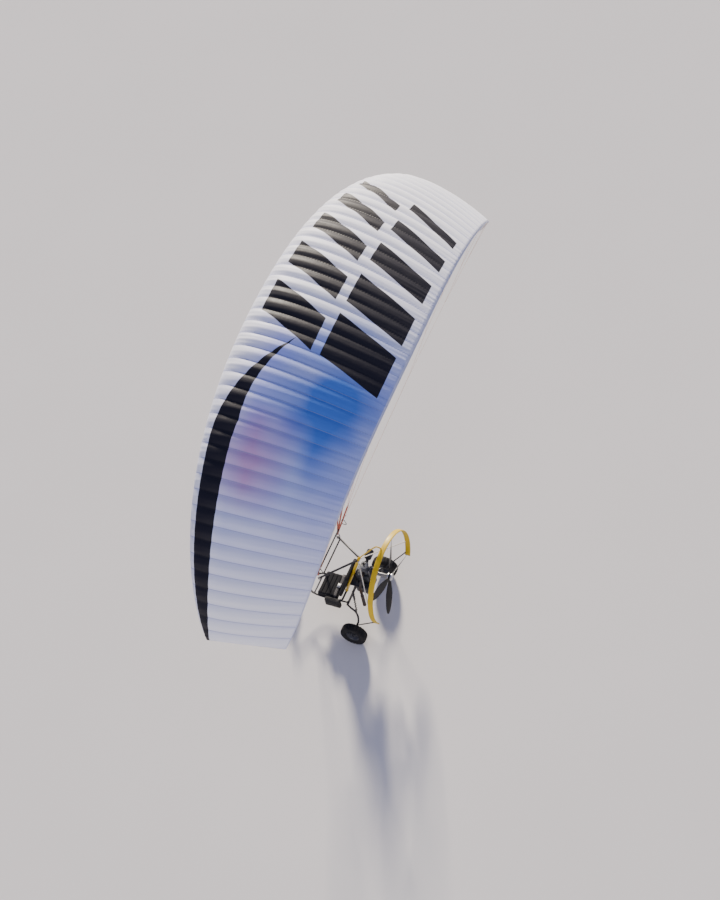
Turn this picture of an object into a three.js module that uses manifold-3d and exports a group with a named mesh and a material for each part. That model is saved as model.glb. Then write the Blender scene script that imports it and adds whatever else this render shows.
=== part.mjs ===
// Single-seat paratrike: a three-wheeled motor trike hung under a ram-air canopy, parked on its wheels.
// Millimetres, +Z up, -Y forward, +X to port. Ground at Z = 0, origin below the middle of the bounding box.
import * as THREE from 'three';
import { mergeVertices } from 'three/addons/utils/BufferGeometryUtils.js';
import Module from 'manifold-3d';

const wasm = await Module();
wasm.setup();

// Driving dimensions of the trike, measured forward of the rear axle, to port and above the ground
const REAR_AXLE_Y = -21.5;
const GAP = 0.3;
const REAR_WHEEL = { radius: 215, width: 138, bead: 108, halfTrack: 663, axle: 12 };
const NOSE_WHEEL = { radius: 180, width: 96, bead: 92, axle: 10 };
const WHEEL_SEGMENTS = 28;
const WHEELBASE = 1448;
const STEERING_RAKE = 15;
const RAIL = { radius: 16, side: 200, height: 315, rear: 270, bend: 900, lap: 3 };
const CROSS_TUBE_RADIUS = 19;
const CROSS_TUBE_HALF = 240;
const SEAT_CROSS_FORWARD = 385;
const NOSE_TUBE = { radius: 20, rear: 1050, lap: 60 };
const MAST = { radius: 25, foot: 385, top: 0, height: 1415, cap: 28 };
const HANG_POINT = { forward: 530, side: 390, height: 1220 };
const SPREADER = { radius: 12, share: 0.15, past: 12 };
const SIDE_STRUT = { radius: 12, foot: 870, behindTip: 40, clear: 80 };
const PROP_AXIS_HEIGHT = 1120;
const RING = { radius: 749, width: 88, thickness: 20, behind: 477, openFrom: 118 };
const BLADE = { radius: 705, root: 40, count: 4, phase: 25, pitch: 25 };
const ENGINE_DECK = { front: 150, rear: -160, half: 205, height: 905, thickness: 12 };
const SEAT = {
  half: 235, rear: 430, front: 815, thick: 70, backLow: 112, backHigh: 760, backThick: 62, backInset: 8,
};

// Driving dimensions of the canopy, measured from the quarter-chord point at the top of its arc
const WING = {
  height: 7479, behindAxle: 30, halfSpan: 4738, tipSlope: 68.5, slopeMix: 0.56, rootChord: 2247,
  tipChord: 0.473, sweep: 649, pitch: 13.3, thickness: 0.165, camber: 0.022, skin: 2.5, cells: 48,
  puff: 0.15,
};
const MOUTH_END = 0.05;
const NOSE_STATIONS = [0, 0.015, 0.04, 0.08];
const TOP_STATIONS = [0.0803, 0.16, 0.32, 0.52, 0.76, 1];
const BOTTOM_STATIONS = [MOUTH_END, 0.15, 0.35, 0.6, 0.8, 1];
const LINE_RADIUS = 1.5;
const RISER = {
  length: 660, width: 24, thick: 4, spread: 85, back: 50, loopBelow: 15, loopAbove: 34, loopRadius: 13,
};

const deg = THREE.MathUtils.degToRad;
const vec = (x, y, z) => new THREE.Vector3(x, y, z);
// A point of the trike: forward of the rear axle, to port, above the ground
const at = (forward, port, height) => vec(port, -forward, height);

// Solids and meshes
function toSolid(geometry) {
  const bare = geometry.clone();
  bare.deleteAttribute('normal');
  bare.deleteAttribute('uv');
  const merged = mergeVertices(bare, 1e-4);
  const index = merged.index.array;
  const keep = [];
  for (let i = 0; i < index.length; i += 3) {
    const [a, b, c] = [index[i], index[i + 1], index[i + 2]];
    if (a !== b && b !== c && a !== c) keep.push(a, b, c);
  }
  return new wasm.Manifold(new wasm.Mesh({
    numProp: 3,
    vertProperties: new Float32Array(merged.attributes.position.array),
    triVerts: new Uint32Array(keep),
  }));
}

function toGeometry(solid) {
  const mesh = solid.getMesh();
  const geometry = new THREE.BufferGeometry();
  geometry.setAttribute('position', new THREE.BufferAttribute(new Float32Array(mesh.vertProperties), 3));
  geometry.setIndex(new THREE.BufferAttribute(new Uint32Array(mesh.triVerts), 1));
  return geometry;
}

function union(...solids) {
  return solids.reduce((sum, solid) => sum.add(solid));
}

// Cuts neighbours out of a solid and keeps its largest piece, so that no sliver is left beyond them
function without(solid, ...cutters) {
  const rest = cutters.reduce((left, cutter) => left.subtract(cutter), solid);
  return rest.decompose().reduce((best, part) => (part.volume() > best.volume() ? part : best));
}

function straightTube(from, to, radius, sides = 12, radiusTo = radius) {
  const length = from.distanceTo(to);
  const geometry = new THREE.CylinderGeometry(radiusTo, radius, length, sides);
  const turn = new THREE.Quaternion().setFromUnitVectors(vec(0, 1, 0), to.clone().sub(from).normalize());
  geometry.applyQuaternion(turn);
  const middle = from.clone().add(to).multiplyScalar(0.5);
  geometry.translate(middle.x, middle.y, middle.z);
  return toSolid(geometry);
}

function bentTube(points, radius, steps, sides = 10) {
  const section = new THREE.Shape();
  for (let i = 0; i < sides; i += 1) {
    const angle = (2 * Math.PI * i) / sides;
    const [x, y] = [radius * Math.cos(angle), radius * Math.sin(angle)];
    if (i === 0) section.moveTo(x, y);
    else section.lineTo(x, y);
  }
  section.closePath();
  const path = new THREE.CatmullRomCurve3(points, false, 'centripetal');
  return toSolid(new THREE.ExtrudeGeometry(section, { steps, extrudePath: path, bevelEnabled: false }));
}

function box(low, high) {
  const size = high.clone().sub(low);
  const geometry = new THREE.BoxGeometry(size.x, size.y, size.z);
  const middle = low.clone().add(high).multiplyScalar(0.5);
  geometry.translate(middle.x, middle.y, middle.z);
  return toSolid(geometry);
}

// A turned solid about X from a profile of [radius, x] points; it closes on itself or ends on the axis
function turnedAboutX(profile, segments) {
  const points = profile.map(([radius, x]) => new THREE.Vector2(radius, x));
  const onAxis = profile[0][0] === 0;
  if (!onAxis) points.push(points[0].clone());
  const geometry = new THREE.LatheGeometry(points, segments);
  geometry.rotateZ(-Math.PI / 2);
  return toSolid(geometry);
}

const materials = {
  frameBlack: { color: 0x17161a, roughness: 0.42, metalness: 0.35 },
  yellow: { color: 0xe8c21c, roughness: 0.38, metalness: 0.1 },
  stayWhite: { color: 0xd9d4bc, roughness: 0.45, metalness: 0.1 },
  alloy: { color: 0x9a9ca0, roughness: 0.35, metalness: 0.9 },
  engine: { color: 0x2a2d33, roughness: 0.5, metalness: 0.7 },
  carbon: { color: 0x0d0d10, roughness: 0.3, metalness: 0 },
  rubber: { color: 0x141312, roughness: 0.85, metalness: 0 },
  rim: { color: 0x2b2c30, roughness: 0.45, metalness: 0.6 },
  seat: { color: 0x16151a, roughness: 0.85, metalness: 0 },
  tank: { color: 0x20222a, roughness: 0.45, metalness: 0 },
  webbing: { color: 0xb4431f, roughness: 0.8, metalness: 0 },
  line: { color: 0xc7502e, roughness: 0.7, metalness: 0 },
  canopyTop: { color: 0xe6e6ee, roughness: 0.6, metalness: 0 },
  canopyBottom: { color: 0xd6d7e4, roughness: 0.65, metalness: 0 },
};

function piece(parent, name, solid, look) {
  const mesh = new THREE.Mesh(toGeometry(solid), new THREE.MeshStandardMaterial(materials[look]));
  mesh.name = name;
  parent.add(mesh);
  return mesh;
}

const paratrike = new THREE.Group();
const trike = new THREE.Group();
trike.position.y = REAR_AXLE_Y;
paratrike.add(trike);
const SIDES = [['port', 1], ['starboard', -1]];

// Steering column: its own frame at the nose wheel's centre, with local Z up along the raked axis
const noseCentre = () => at(WHEELBASE, 0, NOSE_WHEEL.radius);
const column = new THREE.Group();
column.position.copy(noseCentre());
column.rotation.x = -deg(STEERING_RAKE);
trike.add(column);
const HEAD = { low: 236, high: 352, radius: 23, stem: 14, boreLap: 20 };
const columnDirection = vec(0, Math.sin(deg(STEERING_RAKE)), Math.cos(deg(STEERING_RAKE)));
const onColumn = (distance) => noseCentre().addScaledVector(columnDirection, distance);

// Lower frame: two rails, two cross tubes, the nose tube and the steering head, welded into one
const headLow = onColumn(HEAD.low);
const headHigh = onColumn(HEAD.high);
const headMiddle = onColumn((HEAD.low + HEAD.high) / 2);
const noseRear = at(NOSE_TUBE.rear, 0, RAIL.height);
const crossTube = (grown) => straightTube(
  at(RAIL.rear, -CROSS_TUBE_HALF - grown, RAIL.height), at(RAIL.rear, CROSS_TUBE_HALF + grown, RAIL.height),
  CROSS_TUBE_RADIUS + grown,
);
const onRail = (side, forward) => at(forward, side * RAIL.side, RAIL.height);
const rails = SIDES.map(([, side]) => union(
  straightTube(onRail(side, RAIL.rear), onRail(side, RAIL.bend), RAIL.radius),
  straightTube(onRail(side, RAIL.bend - RAIL.lap), at(NOSE_TUBE.rear + NOSE_TUBE.lap, 0, RAIL.height),
    RAIL.radius),
));
const seatCross = (grown) => straightTube(
  onRail(-1, SEAT_CROSS_FORWARD), onRail(1, SEAT_CROSS_FORWARD), RAIL.radius + grown,
);
const headBore = straightTube(
  onColumn(HEAD.low - HEAD.boreLap), onColumn(HEAD.high + HEAD.boreLap), HEAD.stem + GAP, 16,
);
const keelFrame = without(
  union(...rails, crossTube(0), seatCross(0), straightTube(noseRear, headMiddle, NOSE_TUBE.radius),
    straightTube(headLow, headHigh, HEAD.radius, 16)),
  headBore,
);
piece(trike, 'keel_frame', keelFrame, 'frameBlack');

// Mast: the leaning yellow tube that carries the hang arms, the engine deck and the ring's stays
const mastFoot = at(MAST.foot, 0, RAIL.height);
const mastTop = at(MAST.top, 0, MAST.height);
const mastDirection = mastTop.clone().sub(mastFoot).normalize();
const mastLength = mastFoot.distanceTo(mastTop);
const onMast = (distance) => mastFoot.clone().addScaledVector(mastDirection, distance);
const mastTube = (grown) => straightTube(
  onMast(0), onMast(mastLength + MAST.cap + grown), MAST.radius + grown, 16,
);
const belowFoot = 3 * MAST.radius;
const mastBelow = box(
  at(MAST.foot + belowFoot, -belowFoot, RAIL.height - belowFoot),
  at(MAST.foot - belowFoot, belowFoot, RAIL.height),
);
piece(trike, 'mast', without(mastTube(0), seatCross(GAP), mastBelow), 'yellow');

// Hang arms: from the mast top forward, down and out to the two hang points
const HANG_ARM = { radius: 17, rootSide: 22, tipPast: 32 };
const armRoot = (side) => at(MAST.top, side * HANG_ARM.rootSide, MAST.height);
const hangPoint = (side) => at(HANG_POINT.forward, side * HANG_POINT.side, HANG_POINT.height);
const armDirection = (side) => hangPoint(side).sub(armRoot(side)).normalize();
const onArm = (side, past) => hangPoint(side).addScaledVector(armDirection(side), past);
const armTube = (side, grown) => straightTube(
  armRoot(side), onArm(side, HANG_ARM.tipPast), HANG_ARM.radius + grown,
);
for (const [label, side] of SIDES) {
  piece(trike, `hang_arm_${label}`, without(armTube(side, 0), mastTube(GAP)), 'frameBlack');
}
// Side struts: from each hang arm down and forward to the rail
const railGrown = (side) => straightTube(
  onRail(side, RAIL.rear), onRail(side, RAIL.bend + SIDE_STRUT.radius), RAIL.radius + GAP,
);
for (const [label, side] of SIDES) {
  const strut = straightTube(
    onArm(side, -SIDE_STRUT.behindTip), onRail(side, SIDE_STRUT.foot), SIDE_STRUT.radius,
  );
  const above = box(
    hangPoint(side).add(vec(-SIDE_STRUT.clear, -SIDE_STRUT.clear, 0)),
    hangPoint(side).add(vec(SIDE_STRUT.clear, SIDE_STRUT.clear, SIDE_STRUT.clear)),
  );
  const cut = without(strut, armTube(side, GAP), railGrown(side), above);
  piece(trike, `side_strut_${label}`, cut, 'frameBlack');
}

// Engine cradle: a deck behind the mast on two struts that rise from the rear cross tube
const CRADLE_STRUT = { radius: 11, side: 185, deckForward: 60, rooted: 4 };
const deckTop = ENGINE_DECK.height + ENGINE_DECK.thickness;
const deck = box(
  at(ENGINE_DECK.front, -ENGINE_DECK.half, ENGINE_DECK.height),
  at(ENGINE_DECK.rear, ENGINE_DECK.half, deckTop),
);
const cradleStrut = (side, share) => at(RAIL.rear, side * CRADLE_STRUT.side, RAIL.height).lerp(
  at(CRADLE_STRUT.deckForward, side * CRADLE_STRUT.side, ENGINE_DECK.height + CRADLE_STRUT.rooted), share,
);
const cradleStruts = SIDES.map(([, side]) => straightTube(
  cradleStrut(side, 0), cradleStrut(side, 1), CRADLE_STRUT.radius,
));
const cradle = without(union(deck, ...cradleStruts), crossTube(GAP), mastTube(GAP));
piece(trike, 'engine_cradle', cradle, 'frameBlack');

// Engine: crankcase, finned cylinder, reduction drive with the propeller shaft, muffler and air box
const ENGINE = { front: 85, rear: -140, half: 100, height: 165 };
const crankcaseTop = deckTop + GAP + ENGINE.height;
const crankcase = box(
  at(ENGINE.front, -ENGINE.half, deckTop + GAP), at(ENGINE.rear, ENGINE.half, crankcaseTop),
);
piece(trike, 'engine_crankcase', crankcase, 'engine');

const PLUG = { radius: 14, height: 40 };
const CYLINDER = { forward: -70, radius: 46, fin: 66, fins: 6, pitch: 30, finThick: 9 };
const cylinderProfile = [[0, 0], [CYLINDER.fin, 0]];
for (let i = 0; i < CYLINDER.fins; i += 1) {
  const low = i * CYLINDER.pitch;
  cylinderProfile.push([CYLINDER.fin, low + CYLINDER.finThick], [CYLINDER.radius, low + CYLINDER.finThick]);
  cylinderProfile.push([CYLINDER.radius, low + CYLINDER.pitch], [CYLINDER.fin, low + CYLINDER.pitch]);
}
const headTop = CYLINDER.fins * CYLINDER.pitch + 30;
cylinderProfile.push(
  [CYLINDER.fin, headTop - 10], [40, headTop], [PLUG.radius, headTop], [PLUG.radius, headTop + PLUG.height],
  [0, headTop + PLUG.height],
);
const cylinderPoints = cylinderProfile.map(([radius, height]) => new THREE.Vector2(radius, height));
const cylinderGeometry = new THREE.LatheGeometry(cylinderPoints, 16);
cylinderGeometry.rotateX(Math.PI / 2);
const cylinder = piece(trike, 'engine_cylinder', toSolid(cylinderGeometry), 'engine');
cylinder.position.copy(at(CYLINDER.forward, 0, crankcaseTop + GAP));

const REDRIVE = { thick: 30, half: 62, low: 930, high: 1200, shaftEnd: -490, shaft: 30, journal: 14 };
const HUB = { front: -450, rear: -524, radius: 58, bore: REDRIVE.journal + GAP };
const redriveFront = ENGINE.rear - GAP;
const redrivePlate = box(
  at(redriveFront, -REDRIVE.half, REDRIVE.low),
  at(redriveFront - REDRIVE.thick, REDRIVE.half, REDRIVE.high),
);
const redrive = union(
  redrivePlate,
  straightTube(at(redriveFront - 10, 0, PROP_AXIS_HEIGHT), at(HUB.front + 1, 0, PROP_AXIS_HEIGHT),
    REDRIVE.shaft, 16),
  straightTube(at(redriveFront - 10, 0, PROP_AXIS_HEIGHT), at(REDRIVE.shaftEnd, 0, PROP_AXIS_HEIGHT),
    REDRIVE.journal, 16),
);
piece(trike, 'reduction_drive', redrive, 'alloy');

const MUFFLER = { forward: -75, port: 275, low: 515, high: 805, radius: 29, pipe: 19 };
const onMuffler = (height) => at(MUFFLER.forward, MUFFLER.port, height);
const exhaust = union(
  straightTube(onMuffler(MUFFLER.low), onMuffler(MUFFLER.high), MUFFLER.radius, 14),
  bentTube([
    at(CYLINDER.forward, 40, crankcaseTop + 50), at(CYLINDER.forward, 130, crankcaseTop + 60),
    at(CYLINDER.forward - 15, 240, crankcaseTop + 20), onMuffler(975), onMuffler(MUFFLER.high - 10),
  ], MUFFLER.pipe, 14),
);
const cylinderEnvelope = straightTube(
  at(CYLINDER.forward, 0, crankcaseTop - 5), at(CYLINDER.forward, 0, crankcaseTop + headTop + 50),
  CYLINDER.fin + GAP, 16,
);
piece(trike, 'exhaust', without(exhaust, cylinderEnvelope), 'engine');

const AIR_BOX = { forward: -60, near: -150, far: -300, height: 1240, radius: 58, neck: 24 };
const onAirBox = (port) => at(AIR_BOX.forward, port, AIR_BOX.height);
const airBox = union(
  straightTube(onAirBox(AIR_BOX.near), onAirBox(AIR_BOX.far), AIR_BOX.radius, 14),
  straightTube(at(CYLINDER.forward, -30, crankcaseTop + 60), onAirBox(AIR_BOX.near - 10), AIR_BOX.neck),
);
piece(trike, 'air_box', without(airBox, cylinderEnvelope), 'tank');

// Fuel tank, hung under the engine deck between the cradle struts
const TANK = { front: 90, rear: -150, half: 150, low: 657, corner: 40 };
const tankShape = new THREE.Shape();
tankShape.moveTo(-TANK.half + TANK.corner, TANK.low);
tankShape.lineTo(TANK.half - TANK.corner, TANK.low);
tankShape.quadraticCurveTo(TANK.half, TANK.low, TANK.half, TANK.low + TANK.corner);
tankShape.lineTo(TANK.half, ENGINE_DECK.height - GAP);
tankShape.lineTo(-TANK.half, ENGINE_DECK.height - GAP);
tankShape.lineTo(-TANK.half, TANK.low + TANK.corner);
tankShape.quadraticCurveTo(-TANK.half, TANK.low, -TANK.half + TANK.corner, TANK.low);
const tankGeometry = new THREE.ExtrudeGeometry(tankShape, {
  depth: TANK.front - TANK.rear, bevelEnabled: false, curveSegments: 4,
});
tankGeometry.rotateX(Math.PI / 2);
tankGeometry.translate(0, -TANK.rear, 0);
piece(trike, 'fuel_tank', toSolid(tankGeometry), 'tank');

// Seat: a base pad on the rails and a back pad against the mast
const seatLow = RAIL.height + RAIL.radius + GAP;
function pad(halfWidth, length, thick) {
  const soft = 22;
  const shape = new THREE.Shape();
  shape.moveTo(-halfWidth + soft, 0);
  shape.lineTo(halfWidth - soft, 0);
  shape.quadraticCurveTo(halfWidth, 0, halfWidth, soft);
  shape.lineTo(halfWidth, length - soft);
  shape.quadraticCurveTo(halfWidth, length, halfWidth - soft, length);
  shape.lineTo(-halfWidth + soft, length);
  shape.quadraticCurveTo(-halfWidth, length, -halfWidth, length - soft);
  shape.lineTo(-halfWidth, soft);
  shape.quadraticCurveTo(-halfWidth, 0, -halfWidth + soft, 0);
  return new THREE.ExtrudeGeometry(shape, { depth: thick, bevelEnabled: false, curveSegments: 4 });
}
const basePad = toSolid(pad(SEAT.half, SEAT.front - SEAT.rear, SEAT.thick));
piece(trike, 'seat_base', basePad, 'seat').position.copy(at(SEAT.front, 0, seatLow));
const backTilt = Math.atan2(MAST.foot - MAST.top, MAST.height - RAIL.height);
const backPad = toSolid(pad(SEAT.half - SEAT.backInset, SEAT.backHigh - SEAT.backLow, SEAT.backThick));
const seatBack = piece(trike, 'seat_back', backPad, 'seat');
const backNormal = vec(0, -Math.cos(backTilt), Math.sin(backTilt));
seatBack.position.copy(onMast(SEAT.backLow).addScaledVector(backNormal, MAST.radius + GAP));
seatBack.rotation.x = Math.PI / 2 - backTilt;

// Propeller ring: a slim yellow hoop of flattened section, open below between its two ends
const ringSection = [];
const RING_SIDES = 8;
for (let i = 0; i < RING_SIDES; i += 1) {
  const angle = (2 * Math.PI * (i + 0.5)) / RING_SIDES;
  const fill = 1 / Math.cos(Math.PI / RING_SIDES);
  ringSection.push([
    RING.radius + 0.5 * RING.thickness * fill * Math.sin(angle), -0.5 * RING.width * fill * Math.cos(angle),
  ]);
}
function ringOpening() {
  const reach = 2 * RING.radius;
  const edge = [reach * Math.sin(deg(RING.openFrom)), reach * Math.cos(deg(RING.openFrom))];
  const shape = new THREE.Shape();
  shape.moveTo(0, 0);
  shape.lineTo(-edge[0], edge[1]);
  shape.lineTo(-edge[0], -reach);
  shape.lineTo(edge[0], -reach);
  shape.lineTo(edge[0], edge[1]);
  shape.closePath();
  const geometry = new THREE.ExtrudeGeometry(shape, { depth: 2 * RING.width, bevelEnabled: false });
  geometry.translate(0, 0, -RING.width);
  geometry.rotateX(Math.PI / 2);
  return toSolid(geometry);
}
const ringSolid = (grown) => {
  const grownSection = ringSection.map(([radius, x]) => [
    radius + Math.sign(radius - RING.radius) * grown, x + Math.sign(x) * grown,
  ]);
  const hoop = turnedAboutX(grownSection, 48).rotate([0, 0, 90]);
  return hoop.subtract(ringOpening()).translate([0, RING.behind, PROP_AXIS_HEIGHT]);
};
piece(trike, 'propeller_ring', ringSolid(0), 'yellow');

// Ring stays: one over the top from the mast, two to the sides, and two low ones from the rear legs to its ends
const STAY = { top: 11, side: 8, low: 9, sideAngle: 97, lowAngle: 114, ringAhead: 26 };
const ringPoint = (angle) => at(
  STAY.ringAhead - RING.behind, RING.radius * Math.sin(deg(angle)),
  PROP_AXIS_HEIGHT + RING.radius * Math.cos(deg(angle)),
);
const TOP_STAY_BENDS = [[-70, 1525], [-200, 1702], [-330, 1876], [-385, 1925], [-432, 1916]];
const topStay = (grown) => bentTube([
  onMast(mastLength + 8), ...TOP_STAY_BENDS.map(([forward, height]) => at(forward, 0, height)), ringPoint(0),
], STAY.top + grown, 14);
const ringGrown = ringSolid(GAP);
piece(trike, 'ring_stay_top', without(topStay(0), mastTube(GAP), ringGrown), 'yellow');
for (const [label, side] of SIDES) {
  const start = onMast(mastLength - 25).add(vec(side * 12, 0, 0));
  const sideStay = straightTube(start, ringPoint(side * STAY.sideAngle), STAY.side, 10);
  piece(trike, `ring_stay_side_${label}`,
    without(sideStay, mastTube(GAP), ringGrown, topStay(GAP), armTube(side, GAP)), 'stayWhite');
}

// Rear legs: arched tubes from the cross tube out to the wheels, each with its stub axle, and their shocks
const STUB = { inner: 540, past: 48, nutFrom: 41, nutTo: 52, nutRadius: 20 };
const onRearAxle = (side, port) => vec(side * port, 0, REAR_WHEEL.radius);
const LEG_BENDS = [[170, 320, 392], [10, 425, 440], [-45, 512, 402], [-22, 548, 310], [0, 556, 184]];
const legTube = (side, grown) => bentTube([
  at(RAIL.rear, side * (CROSS_TUBE_HALF - 4), RAIL.height),
  ...LEG_BENDS.map(([forward, port, height]) => at(forward, side * port, height)),
], RAIL.radius + grown, 16);
const SHOCK = {
  body: 21, rod: 9, eye: 12, eyeLength: 26, topShare: 0.7, lowForward: -8, lowSide: 452, lowHeight: 438,
  rodAbove: 45, rodBelow: 95,
};
for (const [label, side] of SIDES) {
  const { halfTrack, axle } = REAR_WHEEL;
  const leg = union(
    without(legTube(side, 0), crossTube(GAP)),
    straightTube(onRearAxle(side, STUB.inner), onRearAxle(side, halfTrack + STUB.past), axle, 16),
    straightTube(onRearAxle(side, halfTrack + STUB.nutFrom), onRearAxle(side, halfTrack + STUB.nutTo),
      STUB.nutRadius, 6),
  );
  piece(trike, `rear_leg_${label}`, leg, 'frameBlack');
  const [rootForward, rootPort, rootHeight] = LEG_BENDS[3];
  const lowStay = straightTube(
    at(rootForward, side * rootPort, rootHeight), ringPoint(side * STAY.lowAngle), STAY.low, 10,
  );
  piece(trike, `ring_stay_low_${label}`, without(lowStay, legTube(side, GAP), ringGrown), 'frameBlack');
  const eyeInner = cradleStrut(side, SHOCK.topShare).add(vec(side * (CRADLE_STRUT.radius + GAP), 0, 0));
  const top = eyeInner.clone().add(vec(side * 0.5 * SHOCK.eyeLength, 0, 0));
  const foot = at(SHOCK.lowForward, side * SHOCK.lowSide, SHOCK.lowHeight);
  const along = foot.clone().sub(top).normalize();
  const length = foot.distanceTo(top);
  const shock = union(
    straightTube(top, foot, SHOCK.rod, 10),
    straightTube(top.clone().addScaledVector(along, SHOCK.rodAbove),
      top.clone().addScaledVector(along, length - SHOCK.rodBelow), SHOCK.body, 14),
    straightTube(eyeInner, eyeInner.clone().add(vec(side * SHOCK.eyeLength, 0, 0)), SHOCK.eye, 12),
  );
  piece(trike, `shock_${label}`, without(shock, legTube(side, GAP)), 'alloy');
}

// Wheels: tyre and rim, each turned about the axle
function tyreSolid({ radius, width, bead }) {
  const half = width / 2;
  const wall = radius - bead;
  const outboard = [
    [bead, 0.72], [bead + 0.35 * wall, 0.97], [bead + 0.72 * wall, 1], [radius - 9, 0.82], [radius, 0.42],
  ];
  const profile = [
    ...outboard.map(([r, share]) => [r, -share * half]),
    ...outboard.reverse().map(([r, share]) => [r, share * half]),
  ];
  return turnedAboutX(profile, WHEEL_SEGMENTS);
}
const RIM = { hubRadius: 30, hubHalf: 40, web: 12, webOuter: 8, lip: 10, wall: 14 };
function rimSolid({ width, bead, axle }) {
  const half = width / 2;
  const outer = bead - GAP;
  const outboard = [
    [axle + GAP, RIM.hubHalf], [RIM.hubRadius, RIM.hubHalf], [RIM.hubRadius, RIM.web],
    [outer - RIM.wall, RIM.webOuter], [outer - RIM.lip, 0.74 * half], [outer, 0.78 * half],
  ];
  const profile = [...outboard.map(([r, x]) => [r, -x]), ...outboard.reverse()];
  return turnedAboutX(profile, WHEEL_SEGMENTS);
}
for (const [label, side] of SIDES) {
  const wheel = new THREE.Group();
  wheel.position.set(side * REAR_WHEEL.halfTrack, 0, REAR_WHEEL.radius);
  trike.add(wheel);
  piece(wheel, `rear_tyre_${label}`, tyreSolid(REAR_WHEEL), 'rubber');
  piece(wheel, `rear_rim_${label}`, rimSolid(REAR_WHEEL), 'rim');
}

// Nose wheel, fork and foot bar in the steering column's frame
const FORK = {
  leg: 66, legRadius: 11, legEnd: -22, crownLow: 204, crownHigh: 230, crownHalf: 80,
  pegReach: 240, pegHeight: 118, stemPast: 26, collarLow: 1, collarHigh: 18, collar: 21,
};
const nose = piece(column, 'nose_tyre', tyreSolid(NOSE_WHEEL), 'rubber');
nose.rotation.x = deg(STEERING_RAKE);
const noseRim = piece(column, 'nose_rim', rimSolid(NOSE_WHEEL), 'rim');
noseRim.rotation.x = deg(STEERING_RAKE);
const NOSE_NUT = { end: 92, inner: 80, radius: 17 };
const acrossNose = (from, to, radius, sides) => straightTube(vec(from, 0, 0), vec(to, 0, 0), radius, sides);
const noseAxle = (grown) => union(
  acrossNose(-NOSE_NUT.end, NOSE_NUT.end, NOSE_WHEEL.axle + grown, 16),
  acrossNose(-NOSE_NUT.end, -NOSE_NUT.inner + grown, NOSE_NUT.radius + grown, 6),
  acrossNose(NOSE_NUT.inner - grown, NOSE_NUT.end, NOSE_NUT.radius + grown, 6),
);
piece(column, 'nose_axle', noseAxle(0), 'alloy');
const upColumn = (side, from, to, radius, sides = 12) => straightTube(
  vec(side * FORK.leg, 0, from), vec(side * FORK.leg, 0, to), radius, sides,
);
const forkParts = [
  box(vec(-FORK.crownHalf, -22, FORK.crownLow), vec(FORK.crownHalf, 22, FORK.crownHigh)),
  upColumn(0, FORK.crownHigh - 4, HEAD.high + FORK.stemPast, HEAD.stem, 16),
  upColumn(0, HEAD.high + FORK.collarLow, HEAD.high + FORK.collarHigh, FORK.collar, 16),
];
for (const side of [1, -1]) {
  forkParts.push(upColumn(side, FORK.legEnd, FORK.crownLow + 6, FORK.legRadius), straightTube(
    vec(side * FORK.leg, 0, FORK.pegHeight), vec(side * FORK.pegReach, 0, FORK.pegHeight), FORK.legRadius,
  ));
}
piece(column, 'front_fork', without(union(...forkParts), noseAxle(GAP)), 'frameBlack');

// Propeller: hub and four blades, turning about the Y axis through the ring's centre
const prop = new THREE.Group();
prop.position.copy(at(0, 0, PROP_AXIS_HEIGHT));
trike.add(prop);
const BLADE_Y = -(HUB.front + HUB.rear) / 2;
function bladeSolid(angle) {
  const sections = [[BLADE.root, 34, 22], [150, 70, 20], [320, 118, 13], [520, 112, 9], [650, 76, 6],
    [BLADE.radius, 26, 4]];
  const rings = sections.map(([r, chord, thick]) => {
    const twist = deg(BLADE.pitch + 22 * (1 - r / BLADE.radius));
    return [[-0.5, 0], [-0.2, -0.5], [0.3, -0.45], [0.5, 0], [0.2, 0.5], [-0.25, 0.5]].map(([c, h]) => {
      const [u, w] = [c * chord, h * thick];
      return vec(u * Math.cos(twist) - w * Math.sin(twist), u * Math.sin(twist) + w * Math.cos(twist), r);
    });
  });
  const geometry = loft(rings);
  geometry.rotateY(-deg(angle));
  return toSolid(geometry);
}
function loft(rings) {
  const count = rings[0].length;
  const positions = rings.flat().flatMap((p) => [p.x, p.y, p.z]);
  const index = [];
  for (let s = 0; s + 1 < rings.length; s += 1) {
    for (let i = 0; i < count; i += 1) {
      const j = (i + 1) % count;
      const [a, b, c, d] = [s * count + i, s * count + j, (s + 1) * count + i, (s + 1) * count + j];
      index.push(a, b, d, a, d, c);
    }
  }
  const last = (rings.length - 1) * count;
  for (let i = 1; i + 1 < count; i += 1) {
    index.push(0, i + 1, i);
    index.push(last, last + i, last + i + 1);
  }
  const geometry = new THREE.BufferGeometry();
  geometry.setAttribute('position', new THREE.Float32BufferAttribute(positions, 3));
  geometry.setIndex(index);
  return geometry;
}
const blades = [];
for (let i = 0; i < BLADE.count; i += 1) {
  blades.push(bladeSolid(BLADE.phase + (360 / BLADE.count) * i).translate([0, BLADE_Y, 0]));
}
const hubBore = straightTube(vec(0, -HUB.front - 1, 0), vec(0, -REDRIVE.shaftEnd + 1, 0), HUB.bore, 16);
const hub = without(straightTube(vec(0, -HUB.front, 0), vec(0, -HUB.rear, 0), HUB.radius, 20), hubBore);
const bladeBoss = straightTube(vec(0, BLADE_Y - 16, 0), vec(0, BLADE_Y + 16, 0), HUB.radius - 8, 20);
piece(prop, 'propeller', without(union(bladeBoss, ...blades), hubBore), 'carbon');
piece(prop, 'propeller_hub', without(hub, straightTube(
  vec(0, BLADE_Y - 16 - GAP, 0), vec(0, BLADE_Y + 16 + GAP, 0), HUB.radius + 2, 20,
)), 'alloy');

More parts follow.
